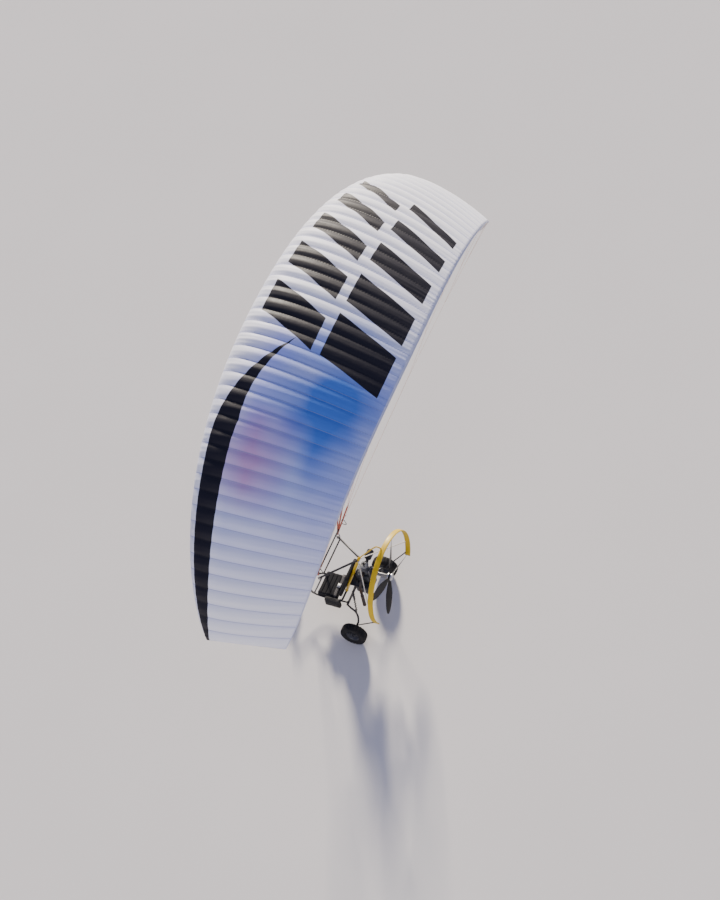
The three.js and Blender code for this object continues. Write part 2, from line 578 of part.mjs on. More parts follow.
// Canopy: aerofoil section, arc and cells
const SLOPE_STEPS = 200;
const arcTable = [[0, 0]];
const slopeAt = (t) => deg(WING.tipSlope) * (WING.slopeMix * t + (1 - WING.slopeMix) * t ** 3);
for (let i = 1; i <= SLOPE_STEPS; i += 1) {
  const slope = slopeAt((i - 0.5) / SLOPE_STEPS);
  const [x, z] = arcTable[i - 1];
  const step = WING.halfSpan / SLOPE_STEPS;
  arcTable.push([x + step * Math.cos(slope), z - step * Math.sin(slope)]);
}
function arcPoint(t) {
  const place = Math.abs(t) * SLOPE_STEPS;
  const low = Math.min(Math.floor(place), SLOPE_STEPS - 1);
  const mix = place - low;
  const [x0, z0] = arcTable[low];
  const [x1, z1] = arcTable[low + 1];
  return [Math.sign(t) * (x0 + mix * (x1 - x0)), z0 + mix * (z1 - z0)];
}
const halfDepth = (x) => 5 * WING.thickness
  * (0.2969 * Math.sqrt(x) - 0.126 * x - 0.3516 * x ** 2 + 0.2843 * x ** 3 - 0.1036 * x ** 4);
const camberLine = (x) => 4 * WING.camber * x * (1 - x);
const chordAt = (t) => WING.rootChord * Math.sqrt(1 - (1 - WING.tipChord ** 2) * t * t);
// A point of the canopy: span t from -1 to 1, chord x from nose to tail, side +1 top or -1 bottom
function canopyPoint(t, x, side, lift) {
  const [arcX, arcZ] = arcPoint(t);
  const slope = Math.sign(t) * slopeAt(Math.abs(t));
  const chord = chordAt(t);
  const pitch = deg(WING.pitch);
  const outward = vec(Math.sin(slope), 0, Math.cos(slope));
  const towardNose = vec(0, -Math.cos(pitch), 0).addScaledVector(outward, Math.sin(pitch));
  const thicknessWay = vec(0, Math.sin(pitch), 0).addScaledVector(outward, Math.cos(pitch));
  const quarter = -0.25 * WING.rootChord + WING.sweep * Math.abs(t) ** 2.5 + 0.25 * chord;
  const tipFade = Math.sqrt(Math.max(0, 1 - Math.abs(t) ** 14));
  const cell = (t + 1) * 0.5 * WING.cells;
  const across = cell - Math.floor(cell + 1e-6);
  const cellWidth = (2 * WING.halfSpan) / WING.cells;
  const puff = WING.puff * cellWidth * Math.sin(Math.PI * Math.max(0, across)) * (1 - x) ** 0.6
    * Math.min(1, 0.35 + 6 * x);
  const depth = (halfDepth(x) * chord + puff) * tipFade;
  return vec(arcX, quarter, arcZ)
    .addScaledVector(towardNose, (0.25 - x) * chord)
    .addScaledVector(thicknessWay, camberLine(x) * chord * tipFade + side * (depth + lift));
}
function skinSolid(stations, side) {
  const columns = 2 * WING.cells + 1;
  const rows = stations.length;
  const positions = [];
  for (const lift of [GAP / 2 + WING.skin, GAP / 2]) {
    for (let i = 0; i < columns; i += 1) {
      for (const x of stations) {
        const p = canopyPoint(-1 + (2 * i) / (columns - 1), x, side, lift);
        positions.push(p.x, p.y, p.z);
      }
    }
  }
  const index = [];
  const quad = (a, b, c, d, flip) => (flip ? index.push(a, c, b, b, c, d) : index.push(a, b, c, b, d, c));
  const inner = columns * rows;
  for (let i = 0; i + 1 < columns; i += 1) {
    for (let j = 0; j + 1 < rows; j += 1) {
      const a = i * rows + j;
      quad(a, a + rows, a + 1, a + rows + 1, side < 0);
      quad(inner + a, inner + a + rows, inner + a + 1, inner + a + rows + 1, side > 0);
    }
    for (const [j, flip] of [[0, side > 0], [rows - 1, side < 0]]) {
      const a = i * rows + j;
      quad(a, a + rows, inner + a, inner + a + rows, flip);
    }
  }
  for (let j = 0; j + 1 < rows; j += 1) {
    for (const [i, flip] of [[0, side < 0], [columns - 1, side > 0]]) {
      const a = i * rows + j;
      quad(a, a + 1, inner + a, inner + a + 1, flip);
    }
  }
  const geometry = new THREE.BufferGeometry();
  geometry.setAttribute('position', new THREE.Float32BufferAttribute(positions, 3));
  geometry.setIndex(index);
  return toSolid(geometry);
}
const canopy = new THREE.Group();
canopy.position.copy(vec(0, REAR_AXLE_Y + WING.behindAxle, WING.height));
paratrike.add(canopy);
piece(canopy, 'canopy_leading_edge', skinSolid(NOSE_STATIONS, 1), 'canopyTop');
piece(canopy, 'canopy_top_skin', skinSolid(TOP_STATIONS, 1), 'canopyTop');

// Karabiners, risers and main lines, in the trike's frame
const canopyOffset = canopy.position.clone().sub(trike.position);
const KARABINER = { width: 38, length: 118, rod: 6, inset: 14 };
const armLevel = Math.hypot(armDirection(1).x, armDirection(1).y);
const karabinerLow = -(HANG_ARM.radius + GAP + KARABINER.rod) / armLevel;
const RISER_AIM = { t: 0.42, x: 0.3 };
function karabinerSolid(side, grown) {
  const base = hangPoint(side).addScaledVector(armDirection(side), KARABINER.inset);
  const half = KARABINER.width / 2 + KARABINER.rod;
  const across = armDirection(side).cross(vec(0, 0, 1)).normalize();
  const [low, high] = [karabinerLow, karabinerLow + KARABINER.length];
  const corners = [[-1, low], [1, low], [1, high], [-1, high]].map(
    ([a, h]) => base.clone().addScaledVector(across, a * half).add(vec(0, 0, h)),
  );
  return union(...corners.map(
    (corner, i) => straightTube(corner, corners[(i + 1) % corners.length], KARABINER.rod + grown, 10),
  ));
}
const STRAPS = [['a', -1], ['b', 0], ['c', 1]];
function riserFrame(side) {
  const base = hangPoint(side).addScaledVector(armDirection(side), KARABINER.inset);
  base.z += karabinerLow + KARABINER.length;
  const aim = canopyPoint(side * RISER_AIM.t, RISER_AIM.x, -1, 0).add(canopyOffset);
  return { base, up: aim.sub(base).normalize() };
}
function strapTop(side, place) {
  const { base, up } = riserFrame(side);
  return base.clone().addScaledVector(up, RISER.length).add(vec(0, RISER.back + place * RISER.spread, 0));
}
function strapSolid(side, place, grown) {
  const { base, up } = riserFrame(side);
  const start = base.clone().addScaledVector(up, 12);
  const end = strapTop(side, place);
  const strap = toSolid(new THREE.BoxGeometry(
    RISER.thick + 2 * grown, RISER.width + 2 * grown, start.distanceTo(end) + 2 * grown,
  ));
  const turn = new THREE.Matrix4().lookAt(end, start, vec(0, 1, 0));
  const placed = turn.setPosition(start.clone().add(end).multiplyScalar(0.5));
  return strap.transform(placed.elements);
}
for (const [label, side] of SIDES) {
  piece(trike, `karabiner_${label}`, karabinerSolid(side, 0), 'alloy');
  const { base, up } = riserFrame(side);
  const straps = STRAPS.map(([, place]) => strapSolid(side, place, 0));
  const alongUp = (distance) => base.clone().addScaledVector(up, distance);
  const loop = straightTube(alongUp(-RISER.loopBelow), alongUp(RISER.loopAbove), RISER.loopRadius, 10);
  piece(trike, `riser_${label}`, without(union(loop, ...straps), karabinerSolid(side, GAP)), 'webbing');
}

// Spreader bar: holds the two risers apart just above their karabiners
const spreaderEnd = (side) => riserFrame(side).base.lerp(strapTop(side, 0), SPREADER.share)
  .add(vec(side * SPREADER.past, 0, 0));
const strapsGrown = SIDES.flatMap(([, side]) => STRAPS.map(([, place]) => strapSolid(side, place, GAP)));
piece(trike, 'spreader_bar', without(
  straightTube(spreaderEnd(-1), spreaderEnd(1), SPREADER.radius), ...strapsGrown,
), 'frameBlack');

// Main lines: name, riser strap, place along the strap's width, rib counted from the middle, chord share
const MAIN_LINES = [
  { name: 'line_a_inner', strap: -1, shift: -7, rib: 6, x: 0.12 },
  { name: 'line_a_outer', strap: -1, shift: 7, rib: 19, x: 0.14 },
  { name: 'line_c_middle', strap: 1, shift: -7, rib: 12, x: 0.62 },
  { name: 'brake_line', strap: 1, shift: 7, rib: 16, x: 0.97 },
];
const LINE_TAB = { radius: 5, length: 24, rooted: 4 };
const LINE_START = 0.85;
function linePath(side, { strap, shift, rib, x }) {
  const strapWay = strapTop(side, strap).sub(riserFrame(side).base).normalize();
  const acrossStrap = vec(0, 1, 0).projectOnPlane(strapWay).normalize();
  const from = strapTop(side, strap).addScaledVector(acrossStrap, shift);
  const to = canopyPoint((side * 2 * rib) / WING.cells, x, -1, GAP / 2 + WING.skin).add(canopyOffset);
  return { from, to, along: to.clone().sub(from).normalize() };
}
const tabs = [];
for (const [label, side] of SIDES) {
  for (const line of MAIN_LINES) {
    const { from, to, along } = linePath(side, line);
    const tabEnd = to.clone().addScaledVector(along, -LINE_TAB.length);
    const start = from.clone().addScaledVector(along, LINE_START);
    const end = tabEnd.clone().addScaledVector(along, -GAP);
    piece(trike, `${line.name}_${label}`, straightTube(start, end, LINE_RADIUS, 6), 'line');
    tabs.push(straightTube(tabEnd.sub(canopyOffset),
      to.clone().addScaledVector(along, LINE_TAB.rooted).sub(canopyOffset), LINE_TAB.radius, 8));
  }
}
piece(canopy, 'canopy_bottom_skin', union(skinSolid(BOTTOM_STATIONS, -1), ...tabs), 'canopyBottom');

export default paratrike;
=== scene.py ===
"""Paratrike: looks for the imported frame. Metres, +Z up, -Y forward, +X to port."""
from functools import reduce
from math import asin, atan2, copysign, cos, exp, hypot, pi, radians, sin, sqrt, tau

import bpy
import numpy as np
from mathutils import Matrix, Vector
from mathutils.bvhtree import BVHTree


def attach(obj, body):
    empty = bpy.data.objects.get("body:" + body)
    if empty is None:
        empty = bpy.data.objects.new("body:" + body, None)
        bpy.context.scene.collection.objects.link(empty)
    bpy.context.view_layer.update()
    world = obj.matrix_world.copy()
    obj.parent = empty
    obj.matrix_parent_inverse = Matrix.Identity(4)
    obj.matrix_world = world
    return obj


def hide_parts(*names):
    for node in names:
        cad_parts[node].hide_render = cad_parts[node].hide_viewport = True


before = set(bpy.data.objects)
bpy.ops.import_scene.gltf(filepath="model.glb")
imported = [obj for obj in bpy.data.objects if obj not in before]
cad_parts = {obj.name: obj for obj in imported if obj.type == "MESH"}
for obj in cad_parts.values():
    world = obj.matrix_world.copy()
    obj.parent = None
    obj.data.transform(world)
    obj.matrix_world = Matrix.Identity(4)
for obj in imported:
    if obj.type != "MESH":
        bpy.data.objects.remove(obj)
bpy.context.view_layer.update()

# Camera: far above and behind the port side, looking down on the canopy with the trike beyond its trailing
# edge, rolled a little as from another aircraft.
CAMERA_PLACE = (16.162, 11.175, 30.244)
CAMERA_RIGHT, CAMERA_UP = Vector((-0.3742, 0.9159, -0.1452)), Vector((-0.7798, -0.2260, 0.5838))
CAMERA_LENS, CAMERA_SENSOR, CAMERA_REACH = 89.5, 36.0, 200


def placed(name, data):
    """A new object of the scene that holds the data."""
    made = bpy.data.objects.new(name, data)
    bpy.context.collection.objects.link(made)
    return made


def adjust(thing, **settings):
    """Sets several properties of one thing."""
    for name, value in settings.items():
        setattr(thing, name, value)
    return thing


camera = placed("camera", bpy.data.cameras.new("camera"))
camera_axes = Matrix([CAMERA_RIGHT, CAMERA_UP, CAMERA_RIGHT.cross(CAMERA_UP)]).transposed()
camera.matrix_world = Matrix.Translation(CAMERA_PLACE) @ camera_axes.to_4x4()
adjust(camera.data, lens=CAMERA_LENS, sensor_fit="VERTICAL", sensor_height=CAMERA_SENSOR,
       sensor_width=CAMERA_SENSOR, clip_end=CAMERA_REACH)
bpy.context.scene.camera = camera

# Light: a low warm key from ahead on the starboard side, a weak broad bounce from low on the port side, a
# soft top light and a cool surround that fills the shadows.
SUNS = (("key_light", (-0.86, -0.40, 0.33), 10.2, 7, (1.0, 0.90, 0.76)),
        ("bounce_light", (0.92, 0.22, 0.10), 1.9, 60, (1.0, 0.92, 0.88)),
        ("top_light", (0.35, 0.25, 1.0), 0.25, 40, (0.90, 0.94, 1.0)))
FILL_COLOUR, FILL_STRENGTH = (0.42, 0.50, 1.0, 1.0), 0.46
for label, towards, strength, spread, tone in SUNS:
    light = placed(label, bpy.data.lights.new(label, "SUN"))
    light.rotation_euler = Vector(towards).to_track_quat("Z", "Y").to_euler()
    adjust(light.data, energy=strength, angle=radians(spread), color=tone)
surround = adjust(bpy.data.worlds.new("surround"), use_nodes=True)
sky = surround.node_tree.nodes["Background"].inputs
sky["Color"].default_value, sky["Strength"].default_value = FILL_COLOUR, FILL_STRENGTH
bpy.context.scene.world = surround

# Canopy: a ram-air wing of 48 cells, sewn from coated ripstop cloth between chordwise ribs. Air that enters
# the mouths below the nose swells each cell, so the skin is crowned between ribs and creased at every seam.
HALF_SPAN, ROOT_CHORD, TIP_CHORD, FLAT_AREA = 4.738, 2.247, 0.473, 19.0
TIP_SLOPE, SLOPE_MIX, SWEEP, PITCH, SLOPE_STEPS = radians(68.5), 0.56, 0.649, radians(13.3), 400
THICKNESS, CAMBER, CELLS, PUFF, LIFT_LINE = 0.165, 0.022, 48, 0.15, 0.25
CANOPY_TOP = np.array([0.0, 0.0085, 7.479])
MOUTH_END, CLOTH_THICK, FOLD_HIGH, FOLDS, FOLD_TURN = 0.05, 0.001, 0.0016, 3, 6.283
CELL_COLUMNS, TOP_ROWS, BOTTOM_ROWS = 12, 56, 30
slope_steps = np.linspace(0, 1, SLOPE_STEPS + 1)
slope_table = TIP_SLOPE * (SLOPE_MIX * slope_steps + (1 - SLOPE_MIX) * slope_steps**3)
step_middle = (slope_table[1:] + slope_table[:-1]) / 2
arc_out = np.concatenate([[0], np.cumsum(np.cos(step_middle))]) * HALF_SPAN / SLOPE_STEPS
arc_down = -np.concatenate([[0], np.cumsum(np.sin(step_middle))]) * HALF_SPAN / SLOPE_STEPS


def canopy_point(t, x, side, lift=0.0, slack=0.0):
    """Points of a skin: t from -1 at the starboard tip to 1 at the port tip, x from nose to tail."""
    t, x = np.broadcast_arrays(np.asarray(t, float), np.asarray(x, float))
    reach = np.abs(t)
    slope = np.sign(t) * np.interp(reach, slope_steps, slope_table)
    outward = np.stack([np.sin(slope), 0 * t, np.cos(slope)], -1)
    nose_way = np.array([0, -cos(PITCH), 0]) + outward * sin(PITCH)
    thick_way = np.array([0, sin(PITCH), 0]) + outward * cos(PITCH)
    chord = ROOT_CHORD * np.sqrt(1 - (1 - TIP_CHORD**2) * t * t)
    depth = 5 * THICKNESS * (0.2969 * np.sqrt(x) - 0.126 * x - 0.3516 * x**2 + 0.2843 * x**3 - 0.1036 * x**4)
    camber = 4 * CAMBER * x * (1 - x)
    fade = np.sqrt(np.maximum(0, 1 - reach**14))
    cell = (t + 1) / 2 * CELLS
    across = np.clip(cell - np.floor(cell + 1e-6), 0, 1)
    crown = np.sin(np.pi * across) * (1 - x) ** 0.6 * np.minimum(1, 0.35 + 6 * x)
    puff = PUFF * 2 * HALF_SPAN / CELLS * crown
    middle = np.stack([np.sign(t) * np.interp(reach, slope_steps, arc_out),
                       -LIFT_LINE * ROOT_CHORD + SWEEP * reach**2.5 + LIFT_LINE * chord,
                       np.interp(reach, slope_steps, arc_down)], -1)
    rise = camber * chord * fade + side * ((depth * chord + puff) * fade + lift) + slack
    return CANOPY_TOP + middle + nose_way * ((LIFT_LINE - x) * chord)[..., None] + thick_way * rise[..., None]


def wrinkles(t, x, seed):
    """Soft folds of a few millimetres that run along the chord, strongest at nose and tail."""
    draw = np.random.default_rng(seed)
    cell = np.clip(np.floor((t + 1) / 2 * CELLS + 1e-6), 0, CELLS - 1).astype(int)
    across = (t + 1) / 2 * CELLS - cell
    turn, count = draw.uniform(0, FOLD_TURN, (CELLS, FOLDS)), draw.uniform(1.6, 3.4, (CELLS, FOLDS))
    ends = np.exp(-x / 0.10) + 0.8 * np.exp(-(1 - x) / 0.16) + 0.25
    wave = sum(np.sin(FOLD_TURN * count[cell, k] * across + turn[cell, k] + (3.0 + 4 * k) * x)
               for k in range(FOLDS))
    return FOLD_HIGH * wave * ends * np.sin(np.pi * np.clip(across, 0, 1))


def fresh(add, **sizes):
    """One of Blender's primitives, with nothing else selected."""
    bpy.ops.object.select_all(action="DESELECT")
    add(**sizes)
    return bpy.context.object


def modify(piece, kind, **settings):
    """Gives a piece a modifier and applies it."""
    bpy.context.view_layer.objects.active = piece
    adjust(piece.modifiers.new(kind, kind), **settings)
    bpy.ops.object.modifier_apply(modifier=kind)
    return piece


def dress(piece, coat, slot, *nodes, body="airframe"):
    """Gives a finished piece its finish and body, and hides the imported nodes that it stands for. The slot
    is not used.
    """
    piece.data.materials.clear()
    piece.data.materials.append(coat.material)
    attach(piece, body)
    if nodes:
        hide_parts(*nodes)
    return piece


def cloth_skin(name, rows, share, side, seed):
    """A skin from a grid: columns follow the span and rows the chord, and its UV map keeps t and x."""
    skin = fresh(bpy.ops.mesh.primitive_grid_add, x_subdivisions=CELLS * CELL_COLUMNS, y_subdivisions=rows,
                 size=2)
    skin.name = skin.data.name = name
    flat = np.empty(len(skin.data.vertices) * 3)
    skin.data.vertices.foreach_get("co", flat)
    flat = flat.reshape(-1, 3)
    t, x = np.clip(flat[:, 0], -1, 1), share((flat[:, 1] + 1) / 2)
    slack = wrinkles(t, x, seed) - CLOTH_THICK / 2 * side
    skin.data.vertices.foreach_set("co", canopy_point(t, x, side, slack=slack).ravel())
    corner = np.empty(len(skin.data.loops), int)
    skin.data.loops.foreach_get("vertex_index", corner)
    layer = skin.data.uv_layers.active
    layer.name = "cloth"
    layer.data.foreach_set("uv", np.stack([(t[corner] + 1) / 2, x[corner]], -1).ravel())
    if side < 0:
        skin.data.flip_normals()
    skin.data.update()
    bpy.ops.object.shade_smooth()
    return modify(skin, "SOLIDIFY", thickness=CLOTH_THICK, offset=-1)


upper = cloth_skin("canopy_upper", TOP_ROWS, lambda s: s**1.6, 1, 4)
lower = cloth_skin("canopy_lower", BOTTOM_ROWS, lambda s: MOUTH_END + (1 - MOUTH_END) * s**1.2, -1, 9)

# Cloth's colours: white with a plain margin at the nose, two rows of slanting black bars that grow smaller
# towards the starboard tip, a black sweep behind the port leading edge and a soft tint of blue and rose.
# Painted shade darkens the valleys by the ribs, the crease along each seam and most of the port half.
WHITE_CLOTH, PALE_CLOTH, TAIL_CLOTH = (0.88, 0.88, 0.90), (0.80, 0.81, 0.90), (0.66, 0.68, 0.80)
# Black of the prints; the painted shade colour of the valleys at the ribs.
BLACK_CLOTH, PAINTED_VALLEY_SHADE = (0.011, 0.010, 0.016), (0.52, 0.54, 0.78)
# Painted shadow colours for the crease along each seam, on white cloth and on black.
SEAM_PAINTED_SHADOW, BLACK_SEAM_PAINTED_SHADOW = (0.26, 0.29, 0.48), (0.004, 0.004, 0.006)
# The painted shade colour over the port half; the width of a printed edge.
PAINTED_PORT_SHADE, PRINT_EDGE = (0.32, 0.37, 0.80), 0.0015
# Each tint: its colour, its middle and closeness along the span and the chord, and how it clouds.
TINTS = (((0.03, 0.15, 0.56), 0.24, 2.7, 0.70, 2.3, 0.5, 1.8, 0.92),
         ((0.54, 0.24, 0.46), 0.47, 6.0, 0.34, 3.4, 0.6, 1.6, 0.75))
# Each row of bars: where it slants from, first and last chord share, slant, and each bar's middle and half.
BAR_ROWS = ((0.07, 0.075, 0.455, 0.20,
             ((-0.010, 0.056), (-0.180, 0.045), (-0.330, 0.036), (-0.465, 0.027), (-0.580, 0.018))),
            (0.51, 0.515, 0.925, 0.13,
             ((0.050, 0.074), (-0.125, 0.056), (-0.285, 0.042), (-0.425, 0.030), (-0.550, 0.020))))
SWEEP_FROM, SWEEP_LEAN, SWEEP_WIDE = 0.10, 0.30, 0.140
RIPSTOP, PUCKERS = 200.0, 150.0


def by_node(operation):
    """A method of a wire that adds one Math node."""
    return lambda wire, other=0.0: wire.finish.node("Math", {"operation": operation}, {0: wire, 1: other})


class Wire:
    """An output of a node. Each sum, product or limit of wires adds a Math node."""

    __add__ = __radd__ = by_node("ADD")
    __mul__ = __rmul__ = by_node("MULTIPLY")
    __sub__, __mod__, __pow__ = by_node("SUBTRACT"), by_node("FLOORED_MODULO"), by_node("POWER")
    __abs__, sine, least, most = map(by_node, ("ABSOLUTE", "SINE", "MINIMUM", "MAXIMUM"))

    def __init__(self, finish, socket):
        self.finish, self.socket = finish, socket

    def __rsub__(self, other):
        return self.finish.node("Math", {"operation": "SUBTRACT"}, {0: other, 1: self})

    def clip(self):
        return self.most(0.0).least(1.0)

    def split(self):
        return [self.finish.node("SeparateXYZ", {}, {0: self}, axis) for axis in "XYZ"]


class Finish:
    """One material: a Principled shader whose varying inputs come from wires."""

    def __init__(self, name, **constant):
        self.material = adjust(bpy.data.materials.new(name), use_nodes=True)
        self.tree = self.material.node_tree
        self.where = self.node("TexCoord", output="Object")
        self.set(**constant)

    def set(self, **values):
        for name, value in values.items():
            self.feed(self.tree.nodes["Principled BSDF"].inputs[name.replace("_", " ")], value)

    def feed(self, socket, value):
        if isinstance(value, Wire):
            self.tree.links.new(value.socket, socket)
        else:
            socket.default_value = (*value, 1.0) if socket.type == "RGBA" else value

    def node(self, kind, settings=None, inputs=None, output=0):
        """A new node: its settings first, then the values or links of its sockets."""
        made = adjust(self.tree.nodes.new("ShaderNode" + kind), **(settings or {}))
        for name, value in (inputs or {}).items():
            self.feed(made.inputs[name], value)
        return Wire(self, made.outputs[output])

    def mix(self, first, second, share):
        return self.node("Mix", {"data_type": "RGBA"}, {0: share, 6: first, 7: second}, 2)

    def noise(self, scale, detail=2.0):
        return self.node("TexNoise", {}, {"Vector": self.where, "Scale": scale, "Detail": detail})

    def bump(self, height, distance, strength=1.0):
        return self.node("Bump", {}, {"Strength": strength, "Distance": distance, "Height": height}, "Normal")


def inside(distance):
    """A sharp printed edge: 1 where the distance is positive."""
    return (distance * (1 / PRINT_EDGE) + 0.5).clip()


def cloth(name, printed):
    """Coated ripstop, puckered at the ribs, with painted blue shade in the valleys and on each seam."""
    coat = Finish(name, Specular_IOR_Level=0.22)
    u, x, _ = coat.node("UVMap", {"uv_map": "cloth"}).split()
    t = u * 2 - 1
    from_rib = 0.5 - abs((u * CELLS) % 1.0 - 0.5)
    seam = 1 - (from_rib * 30.0).clip()
    colour = coat.mix(WHITE_CLOTH, PALE_CLOTH, coat.noise(0.7))
    # Painted shade: bluer and darker towards each rib, in the valley between two crowned cells.
    colour = coat.mix(colour, PAINTED_VALLEY_SHADE, (1 - from_rib * 3.2).clip() ** 2 * 0.45)
    if printed:
        cloudy = coat.noise(1.7, 1.0)
        # Painted shade: a cloudy violet darkening over most of the port half behind the nose, fading out
        # towards the port tip.
        port_shade = ((t + 0.02) * 7.0).clip() * ((0.86 - t) * 2.4).clip() * ((x - 0.06) * 5.0).clip()
        colour = coat.mix(colour, PAINTED_PORT_SHADE, port_shade * (0.45 + cloudy * 0.7))
        for tint, along, close, back, near, even, clouds, most in TINTS:
            spot = (1 - abs(t - along) * close).clip() * (1 - abs(x - back) * near).clip()
            colour = coat.mix(colour, tint, (spot * (even + cloudy * clouds)).clip() * most)
        prints = []
        for start, first, last, slant, bars in BAR_ROWS:
            along = t - (x - start) * slant
            row = reduce(Wire.most, [inside(half - abs(along - middle)) for middle, half in bars])
            prints.append(inside(x - first).least(inside(last - x)).least(row))
        reach = ((t - SWEEP_FROM) * (1 / (1 - SWEEP_FROM))).clip()
        lead = 0.050 * (1 - reach ** 5) + SWEEP_LEAN * (1 - reach * 2.6).clip() ** 2
        wide = SWEEP_WIDE * (1 - (1 - reach * 3.2).clip()) * (1.02 - 0.75 * reach ** 9)
        prints.append(inside(x - lead).least(inside(lead + wide - x)).least(inside(t - SWEEP_FROM)))
        black = reduce(Wire.most, prints)
        colour = coat.mix(colour, BLACK_CLOTH, black)
        # Each seam: the sewn seam, darkened by a painted shadow of its crease, on black and on white.
        colour = coat.mix(colour, BLACK_SEAM_PAINTED_SHADOW, seam * black * 0.6)
        colour = coat.mix(colour, SEAM_PAINTED_SHADOW, seam * (1 - black) * 0.85)
    else:
        # The seam, darkened by a painted shadow of its crease.
        colour = coat.mix(colour, SEAM_PAINTED_SHADOW, seam * 0.5)
    colour = coat.mix(colour, TAIL_CLOTH, inside(x - 0.987) * 0.8)
    span, back = u * 2 * HALF_SPAN, x * ROOT_CHORD
    threads = [(place * RIPSTOP % 1.0 - 0.5).clip() for place in (span, back)]
    pucker = (back * PUCKERS + coat.noise(3.0) * 8).sine() * (1 - (from_rib * 9.0).clip())
    crease = coat.noise(9.0, 4.0)
    coat.set(Base_Color=colour, Roughness=0.44 + crease * 0.16,
             Normal=coat.bump(pucker * 0.8 + crease * 1.6 + (threads[0] + threads[1]) * 0.15, 0.0016, 0.9))
    return coat


dress(upper, cloth("canopy_cloth_printed", True), "canopy_top", "canopy_top_skin", "canopy_leading_edge")
dress(lower, cloth("canopy_cloth_plain", False), "canopy_bottom", "canopy_bottom_skin")

# Ribs: plain cloth walls between the cells, seen through the mouths. Each keeps the wing's section and has
# round cross ports that let the air pass from cell to cell.
RIB_STATIONS = np.array([0.004, 0.02, 0.05, 0.09, 0.14, 0.2, 0.28, 0.38, 0.5, 0.62, 0.74, 0.86, 0.97])
RIB_LEVELS, RIB_PORTS, RIB_THICK = (0.98, 0.5, -0.5, -0.98), ((1, 4), (1, 6), (1, 8)), 0.0008


def from_points(name, points, edges=(), faces=()):
    """A piece whose mesh is worked out point by point."""
    mesh = bpy.data.meshes.new(name)
    mesh.from_pydata([tuple(point) for point in points], edges, faces)
    return placed(name, mesh)


rib_points, rib_faces = [], []
count = len(RIB_STATIONS)
for t in np.linspace(-1, 1, CELLS + 1)[1:-1]:
    for band, level in enumerate(RIB_LEVELS):
        first = len(rib_points)
        rib_points += list(canopy_point(t, RIB_STATIONS, level))
        if band < len(RIB_LEVELS) - 1:
            rib_faces += [(low, low + 1, low + count + 1, low + count)
                          for low in range(first, first + count - 1) if (band, low - first) not in RIB_PORTS]
ribs = from_points("canopy_ribs", rib_points, faces=rib_faces)
modify(ribs, "SOLIDIFY", thickness=RIB_THICK, offset=0)
rib_cloth = Finish("rib_cloth", Roughness=0.5)
rib_cloth.set(Base_Color=rib_cloth.mix((0.72, 0.73, 0.82), (0.62, 0.63, 0.74), rib_cloth.noise(6.0)))
dress(ribs, rib_cloth, "canopy_bottom")

# Stabilisers: single panels of the cloth that go on below each tip, cut deepest near the tail and curling in.
# They are hemmed at the edge and sewn to the last rib of the wing.
SIDES = (("port", 1), ("starboard", -1))
FLAP_COLUMNS, FLAP_ROWS, FLAP_DEEP, FLAP_RIPPLE = 44, 10, 0.32, 0.004
FLAP_FRONT, FLAP_LONG, FLAP_TURN, FLAP_CURL = 0.02, 0.978, radians(46), radians(44)
flap_cloth = Finish("stabiliser_cloth", Roughness=0.5)
fold = flap_cloth.noise(5.0, 4.0)
flap_cloth.set(Base_Color=flap_cloth.mix((0.84, 0.80, 0.72), (0.74, 0.72, 0.70), fold),
               Normal=flap_cloth.bump(fold, 0.004, 0.8))
for label, side in SIDES:
    flap = fresh(bpy.ops.mesh.primitive_grid_add, x_subdivisions=FLAP_COLUMNS, y_subdivisions=FLAP_ROWS,
                 size=2)
    flap.name = flap.data.name = f"stabiliser_{label}"
    for vertex in flap.data.vertices:
        share, x = (vertex.co.y + 1) / 2, FLAP_FRONT + FLAP_LONG * (vertex.co.x + 1) / 2
        deep = FLAP_DEEP * sin(pi * x ** 1.25) ** 0.75 * share
        lean = TIP_SLOPE + FLAP_TURN + FLAP_CURL * share / 2
        down = Vector((side * cos(lean), 0.04, -sin(lean)))
        ripple = FLAP_RIPPLE * sin(26 * x + 2.0 * side) * share
        vertex.co = Vector(canopy_point(side * 0.9995, x, 0)) + down * deep + Vector((ripple, 0, 0))
    bpy.ops.object.shade_smooth()
    modify(flap, "SOLIDIFY", thickness=CLOTH_THICK, offset=0)
    dress(flap, flap_cloth, "canopy_bottom")

# Suspension lines: coated cord of 2 to 3 mm, taut in flight. Three mains rise from each riser strap and fork
# twice on their way to loops sewn to every second rib; the brake lines fan out to the trailing edge.
AXLE_Y = -0.0215
LINE_RED, LINE_AMBER, LOOP_PALE = (0.56, 0.050, 0.010), (0.66, 0.19, 0.014), (0.62, 0.60, 0.64)
MAIN_LINE, FORK_LINE, TOP_LINE, LOOP, LOOP_LENGTH = 0.0018, 0.0015, 0.0012, 0.003, 0.026
FIRST_FORK, SECOND_FORK, BRAKE_FORKS = 0.60, 0.83, (0.55, 0.5, 0.5)
STRAP_ROWS, MAINS, BRAKE_ROW = ((-1, 0.12), (0, 0.34), (1, 0.62)), 3, 0.985
ROW_RIBS, BRAKE_RIBS = range(1, 24, 2), (3, 6, 9, 12, 15, 18, 21, 23)
ARM_ROOT_SIDE, ARM_ROOT_HEIGHT, HANG_FORWARD, HANG_SIDE, HANG_HEIGHT = 0.022, 1.415, 0.530, 0.390, 1.220
ARM_RADIUS, LINK_RADIUS, LINK_LENGTH, LINK_HALF, LINK_INSET = 0.017, 0.006, 0.118, 0.025, 0.014
RISER_LENGTH, STRAP_SPREAD, STRAP_BACK = 0.660, 0.085, 0.050
SEAT_GAP = 0.0003
PORT, AFT, UP = Vector((1, 0, 0)), Vector((0, 1, 0)), Vector((0, 0, 1))


def at(forward, port, height):
    """A point of the trike: forward of the rear axle, to port, above the ground."""
    return Vector((port, AXLE_Y - forward, height))


